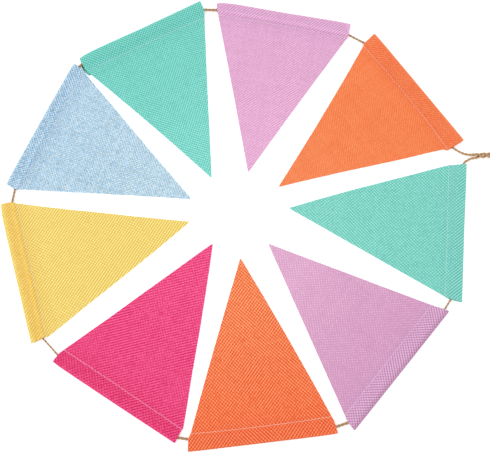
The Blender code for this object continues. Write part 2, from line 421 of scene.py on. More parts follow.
@dataclass(frozen=True)
class TwineFinish:
    """The look of the jute twine: streaks along the plies, painted shade in the grooves between
    them, and browning with painted shade where it is bare.
    """

    name: str = "jute_twine"
    slot: str = "jute"
    pale: tuple = linear(216, 178, 136)
    tan: tuple = linear(176, 137, 99)
    shade_and_brown: tuple = linear(92, 62, 38)

    def material(self) -> bpy.types.Material:
        """Streaked fibre read from the twine's own map: turns across, millimetres along.

        Returns:
            The finished material.
        """
        bench = Bench(self.name)
        place = bench.weave_map()
        around, along = bench.axis(place, 0), bench.axis(place, 1)
        fine = bench.noise(bench.vector(around * 9.0, along * 0.35), 1.0, 3.0)
        slow = bench.noise(bench.vector(around * 1.5, along * 0.12, 9.0), 1.0, 2.0)
        fibres = bench.mix(slow * 0.5, bench.mix(fine, self.tan, self.pale), self.tan)
        # Painted shade between the plies, and browning with painted shade on bare twine, mix the
        # fibres towards the deep brown
        groove_shade_and_browning = bench.attribute("groove_shade_and_browning", "Fac") * 0.85
        bench.plug(bench.shader.inputs["Base Color"], bench.mix(groove_shade_and_browning, fibres, self.shade_and_brown))
        bench.shader.inputs["Roughness"].default_value = 0.88
        bench.shader.inputs["Specular IOR Level"].default_value = 0.2
        bench.bump(0.6, 0.15 * MM, fine)
        return bench.material


@dataclass(frozen=True)
class ThreadFinish:
    """The look of a smooth sewing thread or a loose fibre, in one colour with a soft twist."""

    name: str
    colour: tuple
    deep: tuple
    roughness: float = 0.7

    def material(self) -> bpy.types.Material:
        """Fine slanting bands from the thread's twist.

        Returns:
            The finished material.
        """
        bench = Bench(self.name)
        place = bench.weave_map()
        around, along = bench.axis(place, 0), bench.axis(place, 1)
        twist = bench.math("SINE", (around + along * 1.6) * (2 * math.pi)) * 0.5 + 0.5
        bench.plug(bench.shader.inputs["Base Color"], bench.mix(twist, self.deep, self.colour))
        bench.shader.inputs["Roughness"].default_value = self.roughness
        return bench.material


def unit(vectors: np.ndarray) -> np.ndarray:
    """Directions, one metre long, from vectors along the last axis."""
    return vectors / np.maximum(np.linalg.norm(vectors, axis=-1, keepdims=True), 1e-12)


def smooth_line(points: np.ndarray, samples: int) -> np.ndarray:
    """Points on a smooth line through given ones.

    Between two neighbours runs a cubic whose end slopes are the means of the chords on
    either side, weighted by the other chord's length.

    Args:
        points: Route points along the first axis, coordinates along the last.
        samples: Pieces to cut each stretch into.

    Returns:
        The dense points, along the first axis.
    """
    chord = np.diff(points, axis=0)
    length = np.linalg.norm(chord, axis=-1, keepdims=True)
    slope = chord / length
    inner = (slope[:-1] * length[1:] + slope[1:] * length[:-1]) / (length[1:] + length[:-1])
    tangent = np.concatenate([slope[:1], inner, slope[-1:]])
    share = np.arange(samples).reshape((1, samples) + (1,) * (points.ndim - 1)) / samples
    start, end = points[:-1, None], points[1:, None]
    leave, arrive = (tangent[:-1] * length)[:, None], (tangent[1:] * length)[:, None]
    dense = (
        (2 * share**3 - 3 * share**2 + 1) * start + (share**3 - 2 * share**2 + share) * leave
        + (3 * share**2 - 2 * share**3) * end + (share**3 - share**2) * arrive
    )
    return np.concatenate([dense.reshape((-1,) + points.shape[1:]), points[-1:]])


def run_length(points: np.ndarray) -> np.ndarray:
    """The distance along a line at each of its points, from zero at the first."""
    steps = np.linalg.norm(np.diff(points, axis=0), axis=-1)
    return np.concatenate([np.zeros((1,) + steps.shape[1:]), np.cumsum(steps, axis=0)])


def line_at(points: np.ndarray, stops: np.ndarray) -> np.ndarray:
    """The points that lie at given distances along a line."""
    run = run_length(points)
    return np.stack([np.interp(stops, run, points[:, k]) for k in range(3)], axis=1)


def even_line(points: np.ndarray, spacing: float) -> np.ndarray:
    """The same line with its points evenly spaced.

    Args:
        points: The line's points.
        spacing: About how far apart the new ones are.

    Returns:
        The new points.
    """
    length = run_length(points)[-1]
    count = max(2, int(round(length / spacing)) + 1)
    return line_at(points, np.linspace(0.0, length, count))


def read_columns(stops: np.ndarray, places: np.ndarray, values: np.ndarray) -> np.ndarray:
    """Read every column of a table at its own stops.

    The columns are laid end to end, a metre apart, and read by one interpolation.

    Args:
        stops: Where to read, row by column.
        places: Rising places, row by column.
        values: What stands at those places, row by column.

    Returns:
        The values at the stops.
    """
    shift = np.arange(places.shape[1]) * 1.0
    laid = np.interp((stops + shift).ravel(), (places + shift).T.ravel(), values.T.ravel())
    return laid.reshape(stops.shape)


def smooth_step(value: np.ndarray, low: float, high: float) -> np.ndarray:
    """From 0 at low to 1 at high, level at both ends."""
    share = np.clip((value - low) / (high - low), 0.0, 1.0)
    return share * share * (3.0 - 2.0 * share)


def plateau(value: np.ndarray, rise: tuple, fall: tuple) -> np.ndarray:
    """1 between a rise and a fall, each given by its two ends, and 0 outside them."""
    return smooth_step(value, *rise) * (1.0 - smooth_step(value, *fall))


def make_mesh(
    name: str,
    points: np.ndarray,
    quads: np.ndarray,
    triangles: np.ndarray | None = None,
    corner_maps: dict | None = None,
    vertex_values: dict | None = None,
) -> bpy.types.Object:
    """A mesh object from whole arrays.

    Args:
        name: The piece's name.
        points: Vertices, one row each.
        quads: Four vertex numbers a face.
        triangles: Three vertex numbers a face, after the quads.
        corner_maps: UV maps by name, one row for each face corner.
        vertex_values: Attributes by name for each vertex: one number, or one colour of three.

    Returns:
        The new object, linked to the scene.
    """
    triangles = np.zeros((0, 3), int) if triangles is None else triangles
    corners = np.concatenate([quads.ravel(), triangles.ravel()]).astype(np.int32)
    sizes = np.concatenate([np.full(len(quads), 4), np.full(len(triangles), 3)])
    mesh = bpy.data.meshes.new(name)
    mesh.vertices.add(len(points))
    mesh.vertices.foreach_set("co", points.astype(np.float32).ravel())
    mesh.loops.add(len(corners))
    mesh.loops.foreach_set("vertex_index", corners)
    mesh.polygons.add(len(sizes))
    starts = np.concatenate([[0], np.cumsum(sizes)[:-1]]).astype(np.int32)
    mesh.polygons.foreach_set("loop_start", starts)
    mesh.update(calc_edges=True)
    for map_name, places in (corner_maps or {}).items():
        layer = mesh.uv_layers.new(name=map_name, do_init=False)
        layer.uv.foreach_set("vector", places.astype(np.float32).ravel())
    for value_name, values in (vertex_values or {}).items():
        kind = "FLOAT" if values.ndim == 1 else "FLOAT_VECTOR"
        attribute = mesh.attributes.new(value_name, kind, "POINT")
        slot = "value" if values.ndim == 1 else "vector"
        attribute.data.foreach_set(slot, values.astype(np.float32).ravel())
    mesh.validate(clean_customdata=False)
    mesh.shade_smooth()
    piece = bpy.data.objects.new(name, mesh)
    bpy.context.scene.collection.objects.link(piece)
    return piece


def swept_tubes(lines: np.ndarray, radii: np.ndarray, sides: int) -> tuple:
    """Round tubes with closed ends along many lines of the same number of points.

    At each point a circle of the given radius stands square to the line, on an upright
    frame: sideways is up crossed with the line's direction. Each end closes in a point.

    Args:
        lines: Tube, point and coordinate along the three axes.
        radii: Tube and point along the two axes.
        sides: Corners of the circle.

    Returns:
        Vertices, quads, triangles and, for each vertex, its place round and along in
        millimetres.
    """
    count, length, _ = lines.shape
    ahead = unit(np.gradient(lines, axis=1))
    sideways = np.cross(UP + 0 * ahead, ahead)
    steep = np.linalg.norm(sideways, axis=2, keepdims=True) < 1e-4
    sideways = unit(np.where(steep, np.array([1.0, 0.0, 0.0]), sideways))
    upward = np.cross(ahead, sideways)
    angle = 2 * math.pi * np.arange(sides) / sides
    ring = (
        sideways[:, :, None] * np.cos(angle)[None, None, :, None]
        + upward[:, :, None] * np.sin(angle)[None, None, :, None]
    )
    body = lines[:, :, None] + ring * radii[:, :, None, None]
    ends = lines[:, [0, -1]]
    per_tube = length * sides + 2
    points = np.concatenate([body.reshape(count, -1, 3), ends], axis=1).reshape(-1, 3)
    grid = np.arange(length * sides).reshape(length, sides)
    turned = np.roll(grid, -1, axis=1)
    quad = np.stack([grid[:-1], turned[:-1], turned[1:], grid[1:]], axis=-1).reshape(-1, 4)
    first = np.stack([turned[0], grid[0], np.full(sides, length * sides)], axis=-1)
    last = np.stack([grid[-1], turned[-1], np.full(sides, length * sides + 1)], axis=-1)
    shift = (np.arange(count) * per_tube)[:, None, None]
    quads = (quad[None] + shift).reshape(-1, 4)
    triangles = (np.concatenate([first, last])[None] + shift).reshape(-1, 3)
    run = np.cumsum(np.linalg.norm(np.diff(lines, axis=1, prepend=lines[:, :1]), axis=2), axis=1)
    along = np.repeat(run[:, :, None], sides, axis=2).reshape(count, -1) / MM
    round_it = np.tile(np.arange(sides) / sides, (count, length))
    places = np.stack(
        [
            np.concatenate([round_it, np.zeros((count, 2))], axis=1),
            np.concatenate([along, along[:, :1], along[:, -1:]], axis=1),
        ],
        axis=-1,
    ).reshape(-1, 2)
    return points, quads, triangles, places


def tube_piece(name: str, tubes: tuple, vertex_values: dict | None = None) -> bpy.types.Object:
    """A piece from swept tubes, with their places as its weave map.

    Args:
        name: The piece's name.
        tubes: What swept_tubes returned.
        vertex_values: Float attributes by name.

    Returns:
        The new object.
    """
    points, quads, triangles, places = tubes
    corners = np.concatenate([quads.ravel(), triangles.ravel()])
    return make_mesh(
        name, points, quads, triangles, {WEAVE_MAP: places[corners]}, vertex_values
    )


def joined_tubes(parts: Sequence[tuple]) -> tuple:
    """Several results of swept_tubes as one.

    Args:
        parts: What swept_tubes returned, several times.

    Returns:
        The same four arrays, with the later faces counting on from the earlier points.
    """
    starts = np.cumsum([0] + [len(part[0]) for part in parts[:-1]])
    shifts = (0 * starts, starts, starts, 0 * starts)
    return tuple(
        np.concatenate([part[kind] + start for part, start in zip(parts, shifts[kind])])
        for kind in range(4)
    )


def finish_piece(
    piece: bpy.types.Object, finish: ClothFinish | TwineFinish | ThreadFinish
) -> None:
    """Dress a piece in a finish, whose material is made once, and let it ride on the body.

    Args:
        piece: The piece.
        finish: Its finish.
    """
    piece.data.materials.append(bpy.data.materials.get(finish.name) or finish.material())
    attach(piece, BODY)


@dataclass(frozen=True)
class Pennant:
    """One pennant's sizes, in millimetres and degrees, as in the solids.

    End a comes first and end b last when the ring is followed clockwise from above.
    middle is the middle of the folded edge and turn the direction from end a to end b.
    end_a and end_b give how far the sleeve's end leans inwards, and down to what depth.
    crown is how far the fold bulges outwards near each end, and bow how far each long
    side does. stitch is the depth of the seam at end a, the middle and end b, and twine
    the depth at which the twine enters and leaves. threads is the spacing of the lengthwise
    and crosswise threads, hatch and sleeve_hatch the strength of the weave's two diagonals
    in the body and the sleeve, hatch_reach the depth at which the sleeve's hatching fades,
    and fleck how strong its flecks are in the sleeve and the body. flap_out is how far the
    flap sticks out at end a, doubled the colour factor where the cloth lies double, partly
    painted shade, fold_light_and_shade a factor of painted highlight and shade at the fold and the
    depth at which it ends, seam_slope_light one of painted light where the sleeve slopes down to
    its seam, tone the colour factor of the whole pennant, fade its further factors by the sleeve
    and at the tip, rag how uneven the cut edges are, and corner_highlight_width the width of a
    turned-over corner at end b that gets a painted highlight.

    Three values are finer than the solids: nip is how far each side steps in right under
    the sleeve, swell how far it stands out half way down, and fold_out how far the fold
    stands out at end a, the middle and end b.
    """

    number: int
    cloth: str
    middle: tuple
    turn: float
    width: float
    depth: float
    tip_shift: float
    end_a: tuple
    end_b: tuple
    crown: tuple
    bow: tuple
    stitch: tuple
    twine: tuple
    threads: tuple = (1.65, 1.65)
    hatch: tuple = (0.1, 0.1)
    sleeve_hatch: tuple = (0.1, 0.1)
    doubled_and_shaded: tuple = (0.95, 0.95, 0.95)
    fold_light_and_shade: tuple = (1.0, 1.0)
    seam_slope_light: float = 1.0
    tone: tuple = (1.0, 1.0, 1.0)
    fade: tuple = ((1.0, 1.0, 1.0), (1.0, 1.0, 1.0))
    hatch_reach: float = 60.0
    fleck: tuple = (0.5, 0.5)
    nip: tuple = (0.0, 0.0)
    swell: tuple = (0.0, 0.0)
    fold_out: tuple = (0.0, 0.0, 0.0)
    flap_out: float = 0.0
    rag: float = 0.06
    corner_highlight_width: float = 0.0

    @property
    def name(self) -> str:
        """The node's and the piece's common name."""
        return f"pennant_{self.number}_{self.cloth}"

    @property
    def half(self) -> float:
        """Half the folded edge, in metres."""
        return self.width / 2 * MM

    def across(self, along: np.ndarray, values: tuple) -> np.ndarray:
        """A value in millimetres at a place along the fold, from its two or three given ones."""
        return np.interp(along / self.half, np.linspace(-1.0, 1.0, len(values)), values) * MM

    def seam(self, along: np.ndarray) -> np.ndarray:
        """The seam's depth, as the parabola through its three given depths.

        Args:
            along: Places along the fold.

        Returns:
            Depths from the fold.
        """
        start, mid, end = (depth * MM for depth in self.stitch)
        x = along / self.half
        return mid + (end - start) / 2 * x + ((start + end) / 2 - mid) * x * x

    def side(self, depth: np.ndarray, end: End) -> np.ndarray:
        """How far the outline's side lies from the middle line at a depth.

        The sleeve's end leans inwards to its knee, then the side runs to the tip with a
        slight bow, four times its sag times the share run times the share left. Just past
        the knee it steps in by its nip, which fades out over the next stretch.

        Args:
            depth: Depths from the fold.
            end: Which end of the sleeve the side starts from.

        Returns:
            Places along the fold, negative at end a.
        """
        lean, lean_depth = (self.end_a, self.end_b)[end]
        knee = end.sign * (self.half - lean * MM)
        tip = self.tip_shift * MM + end.sign * TIP_WIDTH / 2
        past = depth - lean_depth * MM
        down = np.clip(past / ((self.depth - lean_depth) * MM), 0.0, 1.0)
        upper = end.sign * self.half + (knee - end.sign * self.half) * np.clip(
            depth / (lean_depth * MM), 0.0, 1.0
        )
        bulge = (self.bow[end] + self.swell[end]) * 4.0 * down * (1.0 - down)
        step = plateau(past, (0.0, 3.0 * MM), (5.0 * MM, NIP_REACH))
        return upper + (tip - knee) * down + end.sign * (bulge - self.nip[end] * step) * MM

    def end_at_seam(self, end: End) -> float:
        """Where the seam meets a side, found by a few steps from the middle's depth.

        Args:
            end: Which end of the sleeve.

        Returns:
            The place along the fold.
        """
        reach = 0.0
        for _ in range(4):
            reach = float(self.side(self.seam(np.array([reach])), end)[0])
        return reach

    def place(self, points: np.ndarray) -> np.ndarray:
        """Turn and move points from the pennant's own frame into that of the solids.

        Args:
            points: Along the fold, depth and height, on the last axis.

        Returns:
            The points in the frame of the solids.
        """
        turn = math.radians(self.turn)
        forward = np.array([math.cos(turn), math.sin(turn), 0.0])
        inward = np.array([math.sin(turn), -math.cos(turn), 0.0])
        middle = np.array([self.middle[0] * MM, self.middle[1] * MM, 0.0])
        return middle + points[..., :1] * forward + points[..., 1:2] * inward + points[..., 2:] * UP


PENNANTS = (
    Pennant(1, "lilac", (52.7, 216.6), -10.0, 145.6, 177.8, -6.9,
            (1.7, 7.0), (1.0, 14.5), (3.4, 0.9), (0.0, -0.6), (12.5, 13.0, 16.0), (7.0, 12.3),
            threads=(1.62, 1.56), hatch=(0.3, 0.1), sleeve_hatch=(0.62, 0.08),
            tone=(0.98, 0.97, 0.99),
            fade=((0.965, 0.94, 0.96), (1.03, 1.005, 1.01)),
            seam_slope_light=1.09, fleck=(0.2, 0.1), nip=(0.2, 0.0), swell=(-0.4, 0.0),
            doubled_and_shaded=(0.955, 0.98, 0.99), fold_out=(0.6, -0.2, 0.6), corner_highlight_width=6.0),
    Pennant(2, "orange", (193.1, 133.8), -53.6, 147.2, 181.3, -0.9,
            (2.6, 16.0), (1.6, 20.0), (0.4, 0.2), (-1.3, -1.4), (18.2, 16.2, 19.5), (15.2, 14.3),
            threads=(1.60, 1.64), hatch=(0.02, 0.12), sleeve_hatch=(0.17, 0.07),
            tone=(0.995, 0.938, 0.785),
            fade=((1.0, 0.95, 0.91), (1.0, 1.02, 1.05)),
            fleck=(0.15, 0.05), doubled_and_shaded=(0.97, 0.9, 0.96), nip=(0.0, 1.9),
            fold_out=(0.3, 0.1, 0.0)),
    Pennant(3, "teal", (231.4, -21.4), -95.2, 141.0, 175.8, -9.4,
            (2.3, 14.0), (2.0, 12.0), (0.3, 0.0), (1.3, 0.0), (17.6, 16.8, 16.4), (2.8, 11.2),
            threads=(1.61, 1.76), hatch=(0.37, 0.25), sleeve_hatch=(0.36, 1.05),
            hatch_reach=9.5, tone=(0.95, 0.99, 0.98),
            fade=((0.97, 0.975, 0.985), (1.04, 1.01, 1.02)),
            fleck=(0.6, 0.4), swell=(0.4, 0.0), doubled_and_shaded=(0.99, 0.95, 0.98), nip=(-1.1, 0.0),
            fold_out=(0.0, -0.3, 0.2)),
    Pennant(4, "lilac", (163.8, -157.0), -130.4, 148.0, 177.7, -11.2,
            (4.9, 14.0), (2.3, 10.0), (0.1, 0.2), (0.0, 0.0), (16.6, 15.9, 15.2), (4.5, 9.0),
            threads=(1.62, 1.74), hatch=(0.14, 0.13), sleeve_hatch=(0.72, 0.68),
            fade=((0.95, 0.94, 0.95), (1.075, 1.15, 1.09)),
            fleck=(0.35, 0.1), doubled_and_shaded=(0.985, 1.07, 1.05), fold_light_and_shade=(0.82, 5.5),
            tone=(0.881, 0.822, 0.866), fold_out=(0.2, 0.3, 0.3)),
    Pennant(5, "orange", (28.6, -224.5), -173.1, 143.9, 177.8, 0.2,
            (2.0, 12.0), (2.0, 12.0), (0.6, 0.2), (0.8, -1.9), (15.8, 14.6, 16.0), (6.0, 11.5),
            threads=(1.68, 1.84), hatch=(0.4, 0.37), sleeve_hatch=(0.6, 0.6),
            fade=((0.98, 0.87, 0.84), (1.0, 1.14, 1.22)),
            fleck=(0.5, 0.4), doubled_and_shaded=(0.97, 0.95, 1.05), fold_light_and_shade=(0.76, 1.4),
            tone=(0.99, 0.831, 0.729), nip=(0.0, 0.5), swell=(0.4, 2.2), fold_out=(0.3, 0.4, 0.3)),
    Pennant(6, "pink", (-115.9, -187.1), 147.8, 142.9, 180.7, 2.2,
            (1.0, 12.0), (1.2, 11.0), (0.0, 0.7), (1.2, -1.1), (13.9, 14.8, 15.0), (5.5, 7.8),
            threads=(1.74, 1.80), hatch=(0.36, 0.11), sleeve_hatch=(0.4, 0.18),
            tone=(0.98, 0.88, 0.97),
            fade=((0.98, 0.91, 0.95), (1.02, 1.1, 1.05)),
            fleck=(0.5, 0.4), doubled_and_shaded=(0.945, 0.83, 0.86), nip=(-1.5, -0.4),
            swell=(0.4, 1.2), fold_out=(0.4, 0.6, 0.3)),
    Pennant(7, "yellow", (-218.1, -61.4), 105.7, 145.8, 179.9, 2.7,
            (2.6, 14.0), (0.8, 9.0), (0.2, 2.0), (1.3, 0.0), (15.4, 15.2, 15.2), (11.8, 11.0),
            threads=(1.66, 1.84), hatch=(0.24, 0.72), sleeve_hatch=(0.12, 0.28),
            tone=(0.98, 0.96, 0.95),
            seam_slope_light=1.1, fleck=(0.35, 0.2), doubled_and_shaded=(0.955, 0.84, 0.71), fold_light_and_shade=(1.04, 4.0),
            nip=(-1.4, -0.3), swell=(0.1, -0.4), fold_out=(0.5, 0.5, 0.6)),
    Pennant(8, "blue", (-202.5, 96.3), 63.9, 146.0, 178.4, -3.9,
            (-0.8, 12.5), (2.7, 13.5), (0.7, 0.7), (0.0, -0.7), (15.0, 13.8, 14.0), (11.6, 6.8),
            threads=(1.60, 1.66), hatch=(0.15, 0.14), sleeve_hatch=(0.34, 0.3),
            tone=(0.935, 0.96, 0.97),
            fade=((0.96, 0.975, 0.99), (1.05, 1.035, 1.01)),
            seam_slope_light=1.18, fleck=(1.1, 0.62), swell=(-0.8, 0.0), doubled_and_shaded=(0.85, 0.88, 0.915),
            fold_light_and_shade=(1.05, 2.5), nip=(0.6, 0.6), fold_out=(-0.7, 0.0, 0.0), rag=0.25),
    Pennant(9, "teal", (-100.9, 200.4), 27.3, 143.6, 180.8, -5.9,
            (0.0, 13.5), (1.5, 13.0), (2.6, 0.0), (-1.3, 0.0), (16.5, 17.4, 19.8), (7.0, 11.5),
            threads=(1.60, 1.68), hatch=(0.36, 0.36), sleeve_hatch=(0.72, 0.66),
            tone=(0.84, 0.97, 0.98),
            fade=((0.92, 0.96, 0.96), (1.12, 1.05, 1.055)),
            seam_slope_light=1.05, fleck=(0.4, 0.3), swell=(0.0, -0.3), doubled_and_shaded=(0.92, 0.95, 0.95),
            fold_out=(0.0, -0.9, -0.3), flap_out=2.4),
)

CLOTHS = {
    "lilac": ClothFinish("lilac_cloth", "lilac_cotton", (222, 170, 204), (22, 26, 23)),
    "orange": ClothFinish("orange_cloth", "orange_cotton", (239, 130, 82), (15, 37, 40)),
    "teal": ClothFinish("teal_cloth", "teal_cotton", (127, 206, 192), (28, 22, 22)),
    "pink": ClothFinish("pink_cloth", "pink_cotton", (230, 71, 126), (19, 37, 31)),
    "yellow": ClothFinish("yellow_cloth", "yellow_cotton", (235, 209, 115), (17, 22, 30)),
    "blue": ClothFinish(
        "blue_cloth", "blue_cotton", (180, 206, 223), (40, 33, 29),
        unevenness=0.20, speckle=0.16, fibre=0.35, warmth=0.19, thread_spread=0.35),
}


@dataclass
class PennantSheet:
    """One pennant's woven cloth, folded into its sleeve.

    The flap ends flap_past_seam beyond the seam, and the front comes down to the surface
    over the next run_out. The fold's radius is nose_near where the twine lies near it and
    nose_far where it lies beyond nose_reach. clear is the space over the twine. slope holds
    shares of the way from the twine to the seam, each with the share of the height left
    there, and settle the same for the run out. Swells stand up to lift high, puckers along
    the seam up to pucker, and threads sway sideways by up to wander. Each of the three has
    its waves' size.
    """

    pennant: Pennant
    flap_past_seam: float = 4.5 * MM
    run_out: float = 12.0 * MM
    nose_near: float = 1.5 * MM
    nose_far: float = 0.95 * MM
    nose_reach: float = 11.0 * MM
    nose_change: float = 7.0 * MM
    clear: float = 0.15 * MM
    slope: tuple = ((0.33, 0.68), (0.67, 0.30))
    settle: tuple = ((0.35, 0.30), (0.70, 0.06))
    lift: float = 0.7 * MM
    lift_size: float = 62.0 * MM
    lift_from: tuple = (26.0 * MM, 60.0 * MM)
    lift_rim: float = 22.0 * MM
    pucker: float = 0.14 * MM
    pucker_size: float = 9.0 * MM
    pucker_reach: float = 3.5 * MM
    wander: float = 0.10 * MM
    wander_size: float = 34.0 * MM
    wander_from: tuple = (20.0 * MM, 40.0 * MM)
    columns: np.ndarray = field(init=False)
    rows: np.ndarray = field(init=False)
    depth: np.ndarray = field(init=False)
    height: np.ndarray = field(init=False)
    middle: np.ndarray = field(init=False)
    normal: np.ndarray = field(init=False)
    rng: np.random.Generator = field(init=False)

    def __post_init__(self) -> None:
        """Lay the thread lattice over the folded section."""
        self.rng = np.random.default_rng(100 + self.pennant.number)
        reach = int((self.pennant.half + 3.0 * MM) / self.column_step) + 1
        self.columns = np.arange(-reach, reach + 1) * self.column_step
        step = self.row_step
        section = smooth_line(self.section(self.columns), 10)
        run = run_length(section)
        fold = self.fold_row() * 10
        run = run - run[fold]
        tip_column = int(np.argmin(np.abs(self.columns - self.pennant.tip_shift * MM)))
        start = math.ceil(float(run[0].max()) / step)
        length = float(run[-1, tip_column])
        self.rows = np.append(np.arange(start, math.floor(length / step - 0.4) + 1) * step, length)
        stops = np.broadcast_to(self.rows[:, None], (len(self.rows), len(self.columns)))
        self.depth = read_columns(stops, run, section[..., 0])
        self.height = read_columns(stops, run, section[..., 1]) + self.unevenness()
        self.middle, self.normal = self.surface()

    @property
    def column_step(self) -> float:
        """Half the spacing of the lengthwise threads."""
        return self.pennant.threads[0] * MM / 2

    @property
    def row_step(self) -> float:
        """Half the spacing of the crosswise threads."""
        return self.pennant.threads[1] * MM / 2

    @staticmethod
    def fold_row() -> int:
        """Which point of the section is the outermost one of the fold, from the flap's edge."""
        return 4

    def section(self, along: np.ndarray) -> np.ndarray:
        """The middle of the cloth's thickness, from the flap's cut edge to the tip.

        The flap lies flat, turns up in a half circle at the fold, arches over the twine,
        meets the flap at the seam and runs out on the surface.

        Args:
            along: Places along the fold.

        Returns:
            Section point, place and coordinate (depth, height) along the three axes.
        """
        pennant = self.pennant
        seam = pennant.seam(along)
        twine = pennant.across(along, pennant.twine)
        edge = np.full_like(along, float(pennant.seam(np.zeros(1))[0]) + self.flap_past_seam)
        edge = np.maximum(edge, seam + 2.0 * MM)
        near = np.clip((self.nose_reach - twine) / self.nose_change, 0.0, 1.0)
        nose = self.nose_far + (self.nose_near - self.nose_far) * near + SHEET_LEVEL
        top = TWINE_LEVEL + TWINE_THICKNESS / 2 + self.clear + CLOTH_THICKNESS / 2
        # The flap, then the half circle of the fold
        rows = [(edge, SHEET_LEVEL), (0.55 * edge, SHEET_LEVEL)]
        for turn in np.radians((270, 225, 180, 135, 90)):
            rows.append((SHEET_LEVEL + nose * (1 + math.cos(turn)),
                         SHEET_LEVEL + nose * (1 + math.sin(turn))))
        # The arch over the twine
        nose_depth, nose_top = rows[-1]
        before = np.maximum(twine - 0.45 * TWINE_THICKNESS, nose_depth + 1.0 * MM)
        after = np.maximum(twine + 0.40 * TWINE_THICKNESS, before + 0.6 * MM)
        rows.append(((nose_depth + before) / 2, nose_top + 0.7 * (top - nose_top)))
        rows += [(before, top), (after, top)]
        # The slope down to the seam, a little higher where it is short
        lowest = SHEET_LEVEL + 1.05 * CLOTH_THICKNESS
        low = lowest + 0.42 * np.clip(3.4 * MM - (seam - after), 0.0, 3.0 * MM)
        rows += [(after + way * (seam - after), low + rise * (top - low))
                 for way, rise in self.slope]
        # Over the flap's end, then down to the surface and out to the tip
        rows += [(seam, low), (edge + 0.8 * MM, lowest)]
        rows += [(edge + way * self.run_out, SHEET_LEVEL + rise * (lowest - SHEET_LEVEL))
                 for way, rise in self.settle]
        start = edge + self.run_out
        rows += [(start + share * (pennant.depth * MM - start), SHEET_LEVEL)
                 for share in np.linspace(0.0, 1.0, 5)]
        return np.stack(
            [np.stack([part + 0 * along for part in row], axis=-1) for row in rows]
        )

    def waves(self, along: np.ndarray, deep: np.ndarray, size: float, count: int) -> np.ndarray:
        """A smooth random field from -1 to 1: a few sine waves in random directions.

        Args:
            along: Places along the fold.
            deep: Places down the cloth.
            size: The waves' usual length.
            count: How many waves are added.

        Returns:
            The field's values.
        """
        total = np.zeros(np.broadcast(along, deep).shape)
        for _ in range(count):
            angle, phase = self.rng.uniform(0, 2 * math.pi, 2)
            stretch = self.rng.uniform(0.7, 1.4) * 2 * math.pi / size
            total += np.sin((along * math.cos(angle) + deep * math.sin(angle)) * stretch + phase)
        return total / count

    def unevenness(self) -> np.ndarray:
        """How far the cloth stands off the surface.

        Soft swells grow towards the cut edges and the tip. Small puckers stand square to
        the seam and fade by a bell curve on either side of it.

        Returns:
            A height for each row and column.
        """
        along, deep = self.columns[None, :], self.depth
        free = smooth_step(self.rows, *self.lift_from)[:, None]
        room = np.minimum(*[end.sign * (self.pennant.side(deep, end) - along) for end in End])
        rim = 0.35 + 0.65 * (1.0 - smooth_step(room, 0.0, self.lift_rim))
        swell = np.clip(self.waves(along, deep, self.lift_size, 4) + 0.25, 0.0, 1.0)
        front = (self.rows > 2.0 * MM)[:, None]
        near_seam = np.exp(-(((deep - self.pennant.seam(along)) / self.pucker_reach) ** 2)) * front
        pucker = self.waves(along, 0 * deep, self.pucker_size, 3) * self.pucker
        return swell * rim * free * self.lift + near_seam * pucker

    def ragged_side(self, depth: np.ndarray, end: End) -> np.ndarray:
        """The outline's side with the unevenness of a cut edge.

        Args:
            depth: One depth for each row.
            end: Which end of the sleeve the side starts from.

        Returns:
            Places along the fold.
        """
        wobble = self.rng.normal(0.0, 1.0, len(depth))
        wobble = np.convolve(wobble, (0.25, 0.5, 0.25), "same")
        return self.pennant.side(depth, end) + wobble * self.pennant.rag * MM

    def flap_reach(self, end: End) -> np.ndarray:
        """How far the flap's rows run out past end a: most of it early, all at the cut edge.

        Args:
            end: Which end of the sleeve.

        Returns:
            One length for each row, zero at end b.
        """
        early, late = (smooth_step(-self.rows, *ramp) for ramp in FLAP_RAMPS)
        return (0.8 * early + 0.2 * late) * self.pennant.flap_out * MM * (end is End.A)

    def outwards(self, along: np.ndarray, depth: np.ndarray) -> np.ndarray:
        """How far the fold bulges out of its straight line, less and less towards the seam.

        Args:
            along: Places along the fold.
            depth: Depths from the fold.

        Returns:
            Lengths outwards.
        """
        x = np.clip(along / self.pennant.half, -1.0, 1.0)
        bulge = self.pennant.across(along, self.pennant.crown) * (1.0 - x**8)
        bulge = bulge + self.pennant.across(along, self.pennant.fold_out)
        return bulge * np.clip(1.0 - depth / self.pennant.seam(along), 0.0, 1.0) ** 2

    def relief(self, across: np.ndarray, along: np.ndarray) -> np.ndarray:
        """The weave's height at a place in thread units.

        Each set of threads is a squared sine, one at a thread's middle and zero between
        two. Crossings stand highest and the holes between four threads lie lowest.

        Args:
            across: Thread numbers across the cloth.
            along: Thread numbers along the cloth.

        Returns:
            Heights over the thread's mean face.
        """
        warp, weft = np.sin(math.pi * across) ** 2, np.sin(math.pi * along) ** 2
        thick_u = self.thread_thickness(across, 11)
        thick_v = self.thread_thickness(along, 23)
        crossing = warp * weft * 0.5 * (thick_u + thick_v)
        single = 0.3 * (warp * (1 - weft) * thick_u + weft * (1 - warp) * thick_v)
        return RELIEF * (crossing + single - 0.8 * (1 - warp) * (1 - weft))

    def thread_thickness(self, number: np.ndarray, seed: int) -> np.ndarray:
        """A thickness factor around one for each thread.

        Args:
            number: Places in thread numbers.
            seed: What tells the two sets of threads apart.

        Returns:
            The factor at each place.
        """
        rng = np.random.default_rng(seed * 31 + self.pennant.number)
        spread, count = CLOTHS[self.pennant.cloth].thread_spread, 400
        factors = 1.0 + spread * rng.uniform(-1.0, 1.0, count)
        return factors[(np.floor(number).astype(int) + count // 2) % count]

